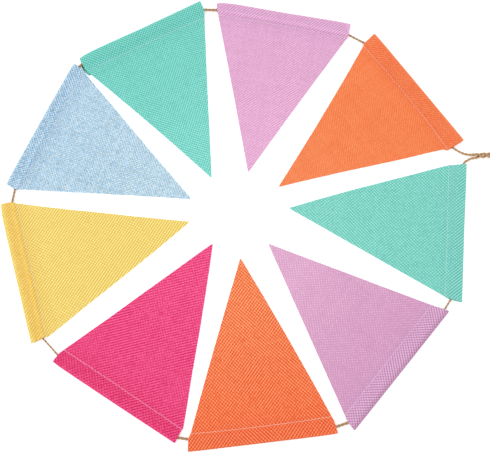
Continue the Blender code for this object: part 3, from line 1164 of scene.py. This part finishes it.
    def lattice(self) -> dict:
        """Clip the thread lattice to the outline.

        Each row keeps the lattice columns well inside its two sides and ends in one vertex
        on each side. Columns past an end read that end's vertex, so the cells there turn
        into triangles or vanish.

        Returns:
            Vertex places in cloth units and in space, the row-by-column vertex numbers,
            and the boundary loop.
        """
        step = self.column_step
        first, count = self.columns[0], len(self.columns)
        row_numbers = np.arange(len(self.rows))
        sides = []
        for end in End:
            middle = self.depth[row_numbers, count // 2]
            place = self.pennant.side(middle, end)
            for _ in range(3):
                place = self.pennant.side(self.at(self.depth, place), end)
            side = self.ragged_side(self.at(self.depth, place), end)
            sides.append(side - self.flap_reach(end))
        left, right = sides
        low = np.ceil((left - first) / step + 0.25).astype(int)
        high = np.floor((right - first) / step - 0.25).astype(int)
        column = np.arange(count)[None, :]
        inside = (column >= low[:, None]) & (column <= high[:, None])
        inner = int(inside.sum())
        number = np.zeros(inside.shape, int)
        number[inside] = np.arange(inner)
        left_number = inner + row_numbers
        right_number = inner + len(self.rows) + row_numbers
        number = np.where(column < low[:, None], left_number[:, None], number)
        number = np.where(column > high[:, None], right_number[:, None], number)
        along = np.concatenate([np.broadcast_to(self.columns, inside.shape)[inside], left, right])
        run = np.concatenate([np.broadcast_to(self.rows[:, None], inside.shape)[inside],
                              self.rows, self.rows])
        place = self.gather(self.middle, inside, left, right)
        lean = unit(self.gather(self.normal, inside, left, right))
        bottom, top = number[0], number[-1]
        loop = np.concatenate([
            bottom[low[0] - 1:high[0] + 2], right_number[1:-1],
            top[low[-1] - 1:high[-1] + 2][::-1], left_number[1:-1][::-1],
        ])
        return {"along": along, "run": run, "place": place, "lean": lean,
                "number": number, "loop": loop,
                "area": float(np.sum((right - left)[1:] * np.diff(self.rows)))}

    def on_front(self, along: np.ndarray, deep: np.ndarray) -> tuple[np.ndarray, np.ndarray]:
        """The front's middle surface and its outward direction at places given by depth.

        Args:
            along: Places along the fold.
            deep: Depths from the fold.

        Returns:
            Points and directions, with the coordinates along a new last axis.
        """
        first = int(np.argmax(self.rows > 3.0 * MM))
        spot = (along - self.columns[0]) / self.column_step
        column = np.clip(spot.astype(int), 0, len(self.columns) - 2)
        share = (spot - column)[..., None]
        places = self.depth[first:, column.ravel()]
        numbers = np.broadcast_to(np.arange(first, len(self.rows))[:, None] * 1.0, places.shape)
        number = read_columns(deep.ravel()[None], places, numbers).reshape(along.shape)
        row = np.clip(number.astype(int), first, len(self.rows) - 2)
        rest = (number - row)[..., None]
        found = []
        for grid in (self.middle, self.normal):
            upper = grid[row, column] * (1 - share) + grid[row, column + 1] * share
            lower = grid[row + 1, column] * (1 - share) + grid[row + 1, column + 1] * share
            found.append(upper * (1 - rest) + lower * rest)
        return found[0], found[1]

    def at(self, grid: np.ndarray, along: np.ndarray) -> np.ndarray:
        """Read a grid in each row at a place between its columns.

        Args:
            grid: Values by row and column.
            along: One place along the fold for each row.

        Returns:
            One value for each row.
        """
        spot = (along - self.columns[0]) / self.column_step
        spot = np.clip(spot, 0.0, len(self.columns) - 1.001)
        column = spot.astype(int)
        row = np.arange(len(self.rows))
        share = (spot - column).reshape((-1,) + (1,) * (grid.ndim - 2))
        return grid[row, column] * (1 - share) + grid[row, column + 1] * share

    def gather(
        self, grid: np.ndarray, inside: np.ndarray, left: np.ndarray, right: np.ndarray
    ) -> np.ndarray:
        """A grid's values at the kept columns, then at both sides of each row.

        Args:
            grid: Values by row and column.
            inside: Which rows and columns are kept.
            left: Each row's place at end a.
            right: Each row's place at end b.

        Returns:
            The values, one row each.
        """
        return np.concatenate([grid[inside], self.at(grid, left), self.at(grid, right)])

    def surface(self) -> tuple[np.ndarray, np.ndarray]:
        """The middle surface and its outward direction at every lattice point.

        The direction is the cross product of the steps to the next row and column.

        Returns:
            Points and directions by row and column.
        """
        deep = self.depth - self.outwards(self.columns[None, :], self.depth)
        sway = self.waves(self.columns[None, :], self.rows[:, None], self.wander_size, 3)
        inner = smooth_step(self.rows, *self.wander_from)[:, None]
        along = np.broadcast_to(self.columns, deep.shape) + sway * self.wander * inner
        middle = self.pennant.place(np.stack([along, deep, self.height], axis=-1))
        return middle, unit(np.cross(np.gradient(middle, axis=0), np.gradient(middle, axis=1)))

    def faces(self, number: np.ndarray) -> tuple[np.ndarray, np.ndarray]:
        """Quads and triangles of the clipped lattice, wound along then down the run.

        A cell of four different vertices is a quad, and one where two are the same a
        triangle. The others have no area and are left out.

        Args:
            number: The vertex number for each row and column.

        Returns:
            The quads and the triangles.
        """
        cells = (number[:-1, :-1], number[:-1, 1:], number[1:, 1:], number[1:, :-1])
        corners = np.stack(cells, axis=-1).reshape(-1, 4)
        same = corners == np.roll(corners, -1, axis=1)
        pairs = same.sum(axis=1)
        others = np.array([(1, 2, 3), (0, 2, 3), (0, 1, 3), (0, 1, 2)])
        three = np.take_along_axis(corners, others[np.argmax(same, axis=1)], axis=1)
        return corners[pairs == 0], three[pairs == 1]

    def bake_place(self, along: np.ndarray, run: np.ndarray, back: bool) -> np.ndarray:
        """Where a place lies on the square map: the back is turned to nest with the front.

        Args:
            along: Places along the fold.
            run: Distances down the cloth from the fold.
            back: Whether they are on the back.

        Returns:
            Places on the map, from 0 to 1.
        """
        length = float(self.rows[-1] - self.rows[0]) + 2 * MM
        x = (along + BAKE_MIDDLE) / BAKE_WIDTH
        y = (run - self.rows[0] + MM) / length * BAKE_HEIGHT
        spot = [1 - x, BAKE_HEIGHT - y] if back else [x, y]
        return np.stack(spot, axis=-1) + np.array([0.0, BAKE_MARGIN])

    def build(self) -> bpy.types.Object:
        """The closed woven sheet: outer face, inner face and the cut rim between them.

        Returns:
            The finished piece.
        """
        cloth = self.lattice()
        count = len(cloth["place"])
        across = cloth["along"] / (2 * self.column_step)
        down = cloth["run"] / (2 * self.row_step)
        half = CLOTH_THICKNESS / 2 + self.relief(across, down)
        outer = cloth["place"] + cloth["lean"] * half[:, None]
        inner = cloth["place"] - cloth["lean"] * half[:, None]
        points = np.concatenate([outer, inner])
        points[:, 2] = np.maximum(points[:, 2], LOWEST)
        quads, triangles = self.faces(cloth["number"])
        loop = cloth["loop"]
        ahead = np.roll(loop, -1)
        rim = np.stack([ahead + count, loop + count, loop, ahead], axis=1)
        all_quads = np.concatenate([quads[:, ::-1], quads + count, rim])
        all_triangles = np.concatenate([triangles[:, ::-1], triangles + count])
        weave = np.stack([across, down], axis=1)
        weave = np.concatenate([weave, weave + np.array([1.0, 0.0])])
        flat = np.concatenate([self.bake_place(cloth["along"], cloth["run"], back)
                               for back in (False, True)])
        turn = np.arange(len(loop) + 1) / (len(loop) + 1)
        edge = np.stack([turn[1:], turn[:-1], turn[:-1], turn[1:]], axis=1)
        level = np.broadcast_to(np.repeat(BAKE_RIM, 2), edge.shape)
        rim_places = np.stack([edge, level], axis=-1).reshape(-1, 2)
        main = all_quads[:-len(rim)].ravel()
        maps = {
            WEAVE_MAP: weave[np.concatenate([all_quads.ravel(), all_triangles.ravel()])],
            BAKE_MAP: np.concatenate([flat[main], rim_places, flat[all_triangles.ravel()]]),
        }
        # Colour factors of the double cloth with painted light, shade and shadow, the fade and the
        # tone
        tone = self.doubling_and_painted_light(cloth["along"], cloth["run"])
        hatch = self.hatching(cloth["along"], cloth["run"])
        values = {"doubling_and_painted_light": np.tile(tone, (2, 1)), "hatching": np.tile(hatch, (2, 1))}
        piece = make_mesh(self.pennant.name + "_cloth", points, all_quads, all_triangles,
                          maps, values)
        piece.data.set_sharp_from_angle(angle=math.radians(55))
        self.dress(piece)
        return piece

    def doubling_and_painted_light(self, along: np.ndarray, run: np.ndarray) -> np.ndarray:
        """The cloth's colour factors where it lies double, with painted light, shade and shadow.

        The share of the double cloth's colour, which is partly painted shade, grows from the fold
        to the middle of the sleeve, drops to a third at the seam and fades out over the next
        18 mm. The fold has its own painted highlight and shade, which fades too. The slope down
        to the seam gets painted light, the flap that sticks out at end a a painted shadow, and
        the turned corner a painted highlight.

        Args:
            along: Places along the fold.
            run: Distances down the cloth from the fold.

        Returns:
            One colour of three factors for each place.
        """
        pennant = self.pennant
        past = run - pennant.seam(along)
        inside = smooth_step(run, *SLEEVE_RISE) * (1.0 - smooth_step(past, *SLEEVE_FALL))
        share = np.maximum(inside, PAST_SHARE * plateau(past, PAST_RISE, PAST_FALL))[:, None]
        # Painted highlight and shade on the fold's rounded edge, by how the light falls on it
        tone, reach = pennant.fold_light_and_shade
        at_fold = 1.0 - smooth_step(np.abs(run), 0.45 * reach * MM, 1.15 * reach * MM)
        # Painted light on the slope down to the seam, where the shape's own shade falls
        slope = plateau(past, SLOPE_RISE, SLOPE_FALL)
        painted_light_factor = 1.0 + (tone - 1.0) * at_fold + (pennant.seam_slope_light - 1.0) * slope
        # Painted shadow on the flap where it shows under the front's side
        if pennant.flap_out:
            near, far = (smooth_step(-run, *ramp) for ramp in FLAP_PAINTED_SHADOW)
            painted_light_factor = painted_light_factor * (1.0 - near * (0.62 - 0.35 * far))
        # Painted highlight on the turned corner
        painted_light_factor = painted_light_factor * (1.0 + CORNER_HIGHLIGHT * self.turned_corner(along, run))
        # The double cloth's colour, partly painted shade
        doubled_and_shaded = 1.0 - share * (1.0 - np.array(pennant.doubled_and_shaded))
        first, last = (np.array(factors) for factors in pennant.fade)
        down = np.clip((run - FADE_START) / FADE_LENGTH, 0.0, 1.0)[:, None]
        faded = first + (last - first) * down
        return doubled_and_shaded * painted_light_factor[:, None] * faded * np.array(pennant.tone)

    def turned_corner(self, along: np.ndarray, run: np.ndarray) -> np.ndarray:
        """1 on the turned corner at end b, painted paler as a highlight, which narrows from the
        fold to the seam.

        Args:
            along: Places along the fold.
            run: Distances down the cloth from the fold.

        Returns:
            1 on the corner and 0 elsewhere.
        """
        width = self.pennant.corner_highlight_width * MM
        narrowing = np.clip(1.0 - run / self.pennant.seam(along), 0.0, 1.0)
        inner = self.pennant.half - width * narrowing
        return smooth_step(along - inner, -0.4 * MM, 0.4 * MM) * (run > 0.0) * (narrowing > 0.0)

    def hatching(self, along: np.ndarray, run: np.ndarray) -> np.ndarray:
        """How strong the weave's diagonals and flecks are.

        The sleeve's values change into the body's over the seam, and fade before it past
        the pennant's own hatching reach and on its turned corner.

        Args:
            along: Places along the fold.
            run: Distances down the cloth from the fold.

        Returns:
            The two diagonals' strengths and the flecks' for each place.
        """
        pennant = self.pennant
        past = smooth_step(run - pennant.seam(along), *HATCH_CHANGE)[:, None]
        ends = [(pennant.hatch_reach + way * HATCH_FADE) * MM for way in (-1, 1)]
        faded = HATCH_LOSS * smooth_step(run, *ends)
        faded = np.maximum(faded, self.turned_corner(along, run))[:, None]
        sleeve = np.array((*pennant.sleeve_hatch, pennant.fleck[0])) * (1.0 - faded)
        body = np.array((*pennant.hatch, pennant.fleck[1]))
        return sleeve + (body - sleeve) * past

    def dress(self, piece: bpy.types.Object) -> None:
        """Give the sheet its finish and hide its part among the solids.

        Args:
            piece: The sheet.
        """
        finish = CLOTHS[self.pennant.cloth]
        finish_piece(piece, finish)
        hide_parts(self.pennant.name)


@dataclass
class Seam:
    """The row of machine stitches that closes one sleeve, seen on both faces.

    A stitch starts sink below the cloth's face and arches up by arch. Each leans by slant
    and is off the line by about stray. Under the flap the stitches lie at under, a little
    lower in their middle. pale holds how far the thread's two shades are from the cloth's
    colour to the thread's white.
    """

    sheet: PennantSheet
    stitch: float = 3.3 * MM
    gap: float = 0.25 * MM
    thickness: float = 0.58 * MM
    margin: float = 0.2 * MM
    sink: float = 0.08 * MM
    arch: float = 0.32 * MM
    slant: float = 0.25 * MM
    stray: float = 0.10 * MM
    under: float = 0.30 * MM
    under_arch: float = 0.06 * MM
    pale: tuple = (0.68, 0.45)

    def lines(self, above: bool) -> np.ndarray:
        """One short arc for each stitch, dipping into the cloth at both ends.

        Args:
            above: Whether the stitches lie on the front, where they follow the cloth's
                outer face, or under the flap.

        Returns:
            Stitch, point and coordinate along the three axes.
        """
        pennant = self.sheet.pennant
        start, end = [pennant.end_at_seam(end) - end.sign * self.margin for end in End]
        count = round((end - start + self.gap) / (self.stitch + self.gap))
        pitch = (end - start + self.gap) / count
        rng = np.random.default_rng(7 + pennant.number)
        share = np.linspace(0.0, 1.0, 5)
        along = start + pitch * np.arange(count)[:, None] + share * (pitch - self.gap)
        slant = (share - 0.5) * self.slant + rng.normal(0, self.stray, count)[:, None]
        deep = pennant.seam(along) + slant
        arc = np.sin(math.pi * share) ** 0.6
        if not above:
            rise = self.under - self.under_arch * arc + 0 * along
            return pennant.place(np.stack([along, deep, rise], axis=-1))
        middle, normal = self.sheet.on_front(along, deep)
        rise = CLOTH_THICKNESS / 2 - self.sink + self.arch * arc
        return middle + normal * (rise + 0 * along)[..., None]

    def build(self) -> bpy.types.Object:
        """The stitches of both faces as one piece.

        Returns:
            The finished piece.
        """
        top, bottom = self.lines(True), self.lines(False)
        taper = self.thickness / 2 * (0.75 + 0.25 * np.sin(math.pi * np.linspace(0, 1, 5)))
        radii = np.broadcast_to(taper, top.shape[:2])
        parts = [swept_tubes(top, radii, 5), swept_tubes(bottom, radii * 0.85, 4)]
        piece = tube_piece(f"{self.sheet.pennant.name}_seam", joined_tubes(parts))
        cloth = CLOTHS[self.sheet.pennant.cloth]
        shades = [cloth.paled(share) for share in self.pale]
        finish_piece(piece, ThreadFinish(f"seam_thread_{cloth.slot}", *shades))
        return piece


FRAY_THREAD = ThreadFinish("loose_blue_threads", linear(214, 232, 243), linear(176, 208, 230))


@dataclass
class Fray:
    """Loose thread ends along the cut sides of the coarse blue pennant.

    They start at the depth first, about every spacing, and root is how far inside the cut
    edge each one begins.
    """

    sheet: PennantSheet
    first: float = 24.0 * MM
    spacing: float = 0.9 * MM
    longest: float = 2.2 * MM
    root: float = 0.7 * MM
    thickness: float = 0.22 * MM

    def build(self) -> bpy.types.Object:
        """Short tapering fibres that leave the cut edge and lean along it.

        Returns:
            The finished piece.
        """
        pennant = self.sheet.pennant
        rng = np.random.default_rng(31)
        lines = []
        for end in End:
            deep = np.arange(self.first, (pennant.depth - 2.0) * MM, self.spacing)
            deep = deep + rng.uniform(-0.4, 0.4, len(deep)) * MM
            share = np.linspace(0.0, 1.0, 4)
            reach = rng.uniform(0.25, 1.0, len(deep)) ** 1.5 * self.longest
            lean = rng.normal(0.0, 0.35, len(deep))
            curl = rng.normal(0.0, 0.25, len(deep))
            outwards = reach[:, None] * share - self.root
            bend = lean[:, None] * share + curl[:, None] * share**2
            down = deep[:, None] + reach[:, None] * bend
            along = pennant.side(deep, end)[:, None] + end.sign * outwards
            rise = SHEET_LEVEL + rng.uniform(-0.2, 0.35, len(deep))[:, None] * MM * share
            lines.append(np.stack([along, down, rise], axis=-1))
        placed = pennant.place(np.concatenate(lines))
        taper = self.thickness / 2 * (1.0 - 0.6 * np.linspace(0.0, 1.0, 4))
        radii = np.broadcast_to(taper, placed.shape[:2])
        piece = tube_piece(f"{pennant.name}_fray", swept_tubes(placed, radii, 3))
        finish_piece(piece, FRAY_THREAD)
        return piece


@dataclass(frozen=True)
class TwineRun:
    """A stretch of two-ply jute twine along a line.

    bare holds the stretches outside the sleeves: start and end as distances along the
    line, and how much thicker the twine is there. They have finer steps and ease off over
    the lengths in ease. ply is one ply's thickness and lay the length of one turn. splay
    and thin say how the plies part and thin out at a loose end: a share, and the length
    over which it comes in.
    """

    name: str
    line: np.ndarray
    bare: tuple
    fine: float = 0.6 * MM
    coarse: float = 1.5 * MM
    thickness: float = TWINE_THICKNESS
    ply: float = 1.62 * MM
    lay: float = 7.5 * MM
    sides: int = 8
    browning_and_shade: float = 0.0
    loose_end: bool = False
    ease: tuple = (0.5 * MM, 3.5 * MM)
    splay: tuple = (1.4, 7.0 * MM)
    thin: tuple = (-0.45, 4.0 * MM)

    def bareness(self, run: np.ndarray) -> tuple[np.ndarray, np.ndarray]:
        """1 in the bare stretches, falling to 0 over the first millimetres of a sleeve.

        Args:
            run: Distances along the line.

        Returns:
            That share, and how much thicker the twine is.
        """
        share = np.zeros_like(run)
        thicker = np.zeros_like(run)
        for start, end, extra in self.bare:
            near, far = self.ease
            inside = plateau(run, (start - far, start - near), (end + near, end + far))
            share = np.maximum(share, inside)
            thicker = thicker + inside * extra
        return share, thicker

    def stops(self, length: float) -> np.ndarray:
        """Distances along the line: the local step is fine where it is bare, else coarse.

        The count of steps up to a place is the integral of one over the step.

        Args:
            length: The line's length.

        Returns:
            The distances.
        """
        dense = np.linspace(0.0, length, int(length / (0.2 * MM)))
        step = self.coarse + (self.fine - self.coarse) * self.bareness(dense)[0]
        count = np.concatenate([[0.0], np.cumsum(np.diff(dense) / step[1:])])
        return np.interp(np.linspace(0.0, count[-1], int(count[-1]) + 2), count, dense)

    def plies(self) -> tuple[tuple, np.ndarray]:
        """Two round plies wound half a turn apart round the line.

        Each ply's middle circles the line at the radius that makes the pair as thick as
        the twine, one turn to each lay length. The groove value is one where a ply faces
        the other, painted shade in the hollow between them, and more all round where the
        twine is bare, for browning and painted shade.

        Returns:
            The tubes and their groove values.
        """
        run = self.stops(run_length(self.line)[-1])
        line = line_at(self.line, run)
        bare, thicker = self.bareness(run)
        girth = 1.0 + thicker
        ahead = unit(np.gradient(line, axis=0))
        sideways = unit(np.cross(UP, ahead))
        upward = np.cross(ahead, sideways)
        orbit = (self.thickness - self.ply) / 2 * girth * self.at_end(run, *self.splay)
        rng = np.random.default_rng(len(line))
        bumps = np.convolve(rng.normal(0, 1, len(line) + 8), np.ones(9) / 3.0, "valid")
        lines, radii, grooves = [], [], []
        for phase in (0.0, math.pi):
            angle = 2 * math.pi * run / self.lay + phase
            offset = sideways * np.cos(angle)[:, None] + upward * np.sin(angle)[:, None]
            lines.append(line + offset * orbit[:, None])
            thin = self.at_end(run, *self.thin)
            radii.append(self.ply / 2 * girth * (1.0 + 0.04 * bumps) * thin)
            around = 2 * math.pi * np.arange(self.sides) / self.sides
            facing = -np.cos(around[None, :] - angle[:, None])
            # Painted shade between the plies, plus browning and painted shade on bare twine
            groove_shade_and_browning = np.clip((facing + 0.05) / 0.85, 0.0, 1.0) + self.browning_and_shade * bare[:, None]
            grooves.append(np.append(np.clip(groove_shade_and_browning, 0.0, 1.0).ravel(), (0.4, 0.4)))
        return swept_tubes(np.stack(lines), np.stack(radii), self.sides), np.concatenate(grooves)

    def at_end(self, run: np.ndarray, more: float, length: float) -> np.ndarray:
        """A factor of one that changes by a share over the last stretch of a loose end."""
        return 1.0 + more * self.loose_end * smooth_step(run, run[-1] - length, run[-1])

    def build(self, finish: TwineFinish) -> bpy.types.Object:
        """The stretch as one piece.

        Args:
            finish: The jute.

        Returns:
            The finished piece.
        """
        tubes, groove_shade_and_browning = self.plies()
        tubes[0][:, 2] = np.maximum(tubes[0][:, 2], LOWEST)
        piece = tube_piece(self.name, tubes, {"groove_shade_and_browning": groove_shade_and_browning})
        finish_piece(piece, finish)
        return piece


@dataclass(frozen=True)
class TwineFuzz:
    """Stray fibres that stand off the twine where it is bare.

    One leaves about every each of the bare stretches, and tuft more at the line's end.
    """

    name: str
    line: np.ndarray
    bare: tuple
    each: float = 1.2 * MM
    longest: float = 3.2 * MM
    thickness: float = 0.09 * MM
    tuft: int = 0

    def build(self, finish: TwineFinish) -> bpy.types.Object:
        """Thin curved fibres: each leaves the twine's surface and bends along it.

        Args:
            finish: The jute.

        Returns:
            The finished piece.
        """
        line = even_line(self.line, 0.5 * MM)
        run = run_length(line)
        rng = np.random.default_rng(17 + len(line))
        spots = [
            rng.uniform(start, end, int((end - start) / self.each) + 1)
            for start, end, _ in self.bare
        ]
        spots.append(np.full(self.tuft, run[-1]))
        spot = np.clip(np.searchsorted(run, np.concatenate(spots)), 2, len(line) - 2)
        way = rng.choice((-1.0, 1.0), len(spot))
        way[len(spot) - self.tuft:] = 1.0
        ahead = unit((line[spot + 1] - line[spot - 1]) * way[:, None])
        sideways = np.cross(UP, ahead)
        upward = np.cross(ahead, sideways)
        angle = rng.uniform(-0.3 * math.pi, 1.3 * math.pi, len(spot))
        outwards = sideways * np.cos(angle)[:, None] + upward * np.sin(angle)[:, None]
        reach = rng.uniform(0.3, 1.0, len(spot)) * self.longest
        lift = rng.uniform(0.15, 0.75, len(spot))
        share = np.linspace(0.0, 1.0, 6)[None, :, None]
        base = line[spot] + outwards * 0.45 * TWINE_THICKNESS
        lines = (
            base[:, None]
            + ahead[:, None] * reach[:, None, None] * share
            + outwards[:, None] * (reach * lift)[:, None, None] * share**1.7
        )
        lines[..., 2] = np.maximum(lines[..., 2], 0.12 * MM)
        radii = self.thickness / 2 * (1.0 - 0.7 * share[..., 0]) + np.zeros(lines.shape[:2])
        tubes = swept_tubes(lines, radii, 3)
        piece = tube_piece(self.name, tubes, {"groove_shade_and_browning": np.zeros(len(tubes[0]))})
        finish_piece(piece, finish)
        return piece


@dataclass
class String:
    """The bunting's one length of twine: held in the sleeves, then two tie ends.

    order holds the pennants' numbers along the twine, and thicker how much thicker it is
    in each gap between two. tie_thicker is the same for a tie end before and from the
    twist's end on. The points are routes on the surface, in millimetres.
    """

    finish: TwineFinish = TwineFinish()
    order: tuple = (2, 1, 9, 8, 7, 6, 5, 4, 3)
    thicker: tuple = (-0.05, 0.2, 0.25, -0.02, -0.28, 0.08, 0.15, -0.28)
    tie_thicker: tuple = (-0.02, 0.22)
    start_a: tuple = ((229.2, 63.3), (233.4, 60.8), (238.6, 59.2), (243.2, 58.8))
    start_b: tuple = ((238.2, 52.3), (241.0, 53.9), (244.2, 55.0))
    twist_line: tuple = (
        (247.5, 57.2), (254.0, 57.9), (262.0, 58.0), (270.2, 56.4), (277.0, 51.2),
        (280.8, 43.0), (281.8, 32.0), (281.6, 20.0), (281.2, 8.0))
    end_a: tuple = (
        (282.6, 2.0), (284.6, -16.0), (284.8, -36.0), (281.4, -56.0), (278.4, -76.0),
        (279.4, -96.0), (283.0, -114.0), (284.0, -132.0))
    end_b: tuple = (
        (278.0, 2.0), (275.0, -14.0), (274.6, -32.0), (276.4, -50.0), (273.6, -68.0),
        (270.4, -86.0), (270.0, -104.0), (272.4, -120.0))

    def sleeve_route(self, pennant: Pennant) -> np.ndarray:
        """The twine's own points in one sleeve, from end b to end a.

        Args:
            pennant: The sleeve's pennant.

        Returns:
            Four points in the frame of the solids.
        """
        places = []
        for end in (End.B, End.A):
            depth = pennant.across(np.array([end.sign * pennant.half]), pennant.twine)
            reach = float(pennant.side(depth, end)[0])
            inner = reach - end.sign * SLEEVE_EASE
            places.extend((reach, inner) if end is End.B else (inner, reach))
        along = np.array(places)
        deep = pennant.across(along, pennant.twine)
        level = np.full(len(places), TWINE_LEVEL)
        return pennant.place(np.stack([along, deep, level], axis=-1))

    def held_line(self) -> tuple[np.ndarray, tuple]:
        """The line of the held twine, from pennant 2 round to pennant 3.

        Between two sleeves it runs straight, through a point at a fifth of the way and one
        at four fifths.

        Returns:
            The dense line, and each bare stretch along it.
        """
        by_number = {pennant.number: pennant for pennant in PENNANTS}
        routes = [self.sleeve_route(by_number[number]) for number in self.order]
        stretches = [routes[0]]
        for before, after in zip(routes[:-1], routes[1:]):
            leave, arrive = before[-1], after[0]
            stretches += [leave + share * (arrive - leave)[None] for share in (0.2, 0.8)]
            stretches.append(after)
        line = smooth_line(np.concatenate(stretches), 12)
        run = run_length(line)
        gaps = []
        for before, after, thicker in zip(routes[:-1], routes[1:], self.thicker):
            start, end = [
                float(run[np.argmin(np.linalg.norm(line - point, axis=1))])
                for point in (before[-1], after[0])
            ]
            gaps.append((start, end, thicker))
        return line, tuple(gaps)

    def lying(self, places: tuple, level: float) -> np.ndarray:
        """Route points at one height."""
        return np.array([(x * MM, y * MM, level) for x, y in places])

    def strand(self, phase: float) -> np.ndarray:
        """One strand of the twisted pair: a helix round the pair's middle line.

        Args:
            phase: Where it starts round that line.

        Returns:
            The strand's points.
        """
        axis = smooth_line(self.lying(self.twist_line, TWIST_LEVEL), 12)
        distance = np.linspace(0.0, TWIST_TURNS * TWIST_PITCH, TWIST_TURNS * 16 + 1)
        centre = line_at(axis, distance)
        sideways = np.cross(UP, unit(np.gradient(centre, axis=0)))
        angle = phase + 2 * math.pi * distance / TWIST_PITCH
        offset = sideways * np.cos(angle)[:, None] + UP * np.sin(angle)[:, None]
        return centre + offset * TWIST_RADIUS

    def tie_line(self, mouth: np.ndarray, start: tuple, phase: float, end: tuple) -> np.ndarray:
        """One tie end: from its sleeve to the twist, through it and out to its free end.

        Args:
            mouth: The twine's last two points in the sleeve, the inner one first.
            start: Route points before the twist.
            phase: Where the strand starts round the pair's middle line.
            end: Route points after the twist.

        Returns:
            The dense line.
        """
        outwards = unit(mouth[1] - mouth[0])
        steps = np.array([[MOUTH_GAP], [MOUTH_GAP + MOUTH_STRAIGHT]])
        head = np.concatenate([mouth[1] + outwards * steps, self.lying(start, TWINE_LEVEL)])
        tail = self.lying(end, LYING_LEVEL)
        return smooth_line(np.concatenate([head, self.strand(phase), tail]), 4)

    def build(self) -> list[bpy.types.Object]:
        """The held twine, the two tie ends and their stray fibres.

        Returns:
            The finished pieces.
        """
        held, gaps = self.held_line()
        twine = TwineRun("jute_twine_held", held, gaps, browning_and_shade=0.3).build(self.finish)
        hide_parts("twine")
        fuzz = TwineFuzz("jute_twine_fuzz", held, gaps, each=0.9 * MM, longest=2.6 * MM)
        pieces = [twine, fuzz.build(self.finish)]
        ends = (
            ("tie_a", held[[1, 0]], self.start_a, 0.0, self.end_a),
            ("tie_b", held[[-2, -1]], self.start_b, math.pi, self.end_b),
        )
        for node, mouth, start, phase, end in ends:
            line = self.tie_line(mouth, start, phase, end)
            length = float(run_length(line)[-1])
            twisted = float(run_length(line[: 4 * (len(start) + 2)])[-1])
            early, late = self.tie_thicker
            whole = ((0.0, twisted - 5.0 * MM, early), (twisted - 1.0 * MM, length, late))
            cord = TwineRun(f"jute_{node}", line, whole, browning_and_shade=0.12, loose_end=True)
            cord = cord.build(self.finish)
            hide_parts(node)
            fuzz = TwineFuzz(f"jute_{node}_fuzz", line, whole, tuft=26).build(self.finish)
            pieces += [cord, fuzz]
        return pieces


@dataclass(frozen=True)
class Studio:
    """The floor, the lights and the camera, which stands as in the photograph.

    tilt holds the camera's lean and roll in degrees, and target where it looks, in
    millimetres. floor_tones are the floor's two greys and glow its own light. key is the
    lamp's place, size and power.
    """

    lens: float = 50.0
    sensor: float = 36.0
    tilt: tuple = (10.815, 1.085)
    distance: float = 0.6895
    target: tuple = (11.5, -14.7)
    surface: float = 3.0
    floor_tones: tuple = (0.85, 0.87)
    glow: float = 0.35
    sky_strength: float = 0.98
    key: tuple = ((-0.9, 0.6, 1.7), 1.6, 9.0)

    def floor(self) -> bpy.types.Object:
        """A large pale matt surface with a faint unevenness of tone.

        Returns:
            The floor.
        """
        half = self.surface / 2
        corners = np.array([(-half, -half, 0), (half, -half, 0), (half, half, 0), (-half, half, 0)])
        floor = make_mesh("white_surface", corners - UP * 0.05 * MM, np.array([[0, 1, 2, 3]]))
        bench = Bench("white_surface")
        place = bench.node("ShaderNodeTexCoord", {}, {}, "Object")
        tone = bench.noise(place, 3.0)
        greys = [(grey, grey, grey, 1.0) for grey in self.floor_tones]
        bench.plug(bench.shader.inputs["Base Color"], bench.mix(tone, *greys))
        bench.shader.inputs["Roughness"].default_value = 0.9
        bench.shader.inputs["Specular IOR Level"].default_value = 0.1
        bench.shader.inputs["Emission Color"].default_value = (1.0, 1.0, 1.0, 1.0)
        bench.shader.inputs["Emission Strength"].default_value = self.glow
        floor.data.materials.append(bench.material)
        return floor

    def light(self, name: str, place: tuple, size: float, power: float) -> None:
        """A square soft light aimed at the ring's middle.

        Args:
            name: The lamp's name.
            place: Where it stands.
            size: Its side.
            power: Its watts.
        """
        data = bpy.data.lights.new(name, "AREA")
        data.shape = "SQUARE"
        data.size = size
        data.energy = power
        lamp = bpy.data.objects.new(name, data)
        lamp.location = place
        lamp.rotation_mode = "QUATERNION"
        lamp.rotation_quaternion = (-lamp.location).to_track_quat("-Z", "Y")
        bpy.context.scene.collection.objects.link(lamp)

    def sky(self) -> None:
        """Even white light from all round."""
        world = bpy.data.worlds.new("soft_white")
        world.use_nodes = True
        background = world.node_tree.nodes["Background"]
        background.inputs["Color"].default_value = (1.0, 1.0, 1.0, 1.0)
        background.inputs["Strength"].default_value = self.sky_strength
        bpy.context.scene.world = world

    def camera(self) -> bpy.types.Object:
        """The camera: above the ring, leaning back towards its lower side.

        Returns:
            The camera.
        """
        data = bpy.data.cameras.new("camera")
        data.lens = self.lens
        data.sensor_width = self.sensor
        data.sensor_fit = "AUTO"
        camera = bpy.data.objects.new("camera", data)
        lean, roll = (math.radians(angle) for angle in self.tilt)
        camera.rotation_euler = (lean, roll, 0.0)
        away = np.array([math.sin(roll) * math.cos(lean), -math.sin(lean),
                         math.cos(roll) * math.cos(lean)])
        middle = np.array([self.target[0] * MM, self.target[1] * MM, 0.0])
        camera.location = middle + away * self.distance
        bpy.context.scene.collection.objects.link(camera)
        bpy.context.scene.camera = camera
        return camera

    def build(self) -> None:
        """Set up the whole studio."""
        self.floor()
        self.sky()
        self.light("key", *self.key)
        self.camera()
        bpy.context.scene.view_settings.view_transform = "Standard"


def write_sizes() -> None:
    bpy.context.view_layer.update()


def main() -> None:
    """Build the studio, the string and the pennants, and report each piece."""
    Studio().build()
    for piece in String().build():
        LOG.info("%s: %d faces", piece.name, len(piece.data.polygons))
    for pennant in PENNANTS:
        sheet = PennantSheet(pennant)
        pieces = [sheet.build(), Seam(sheet).build()]
        if pennant.cloth == "blue":
            pieces.append(Fray(sheet).build())
        for piece in pieces:
            LOG.info("%s: %d faces", piece.name, len(piece.data.polygons))
    write_sizes()


if __name__ == "__main__":
    main()
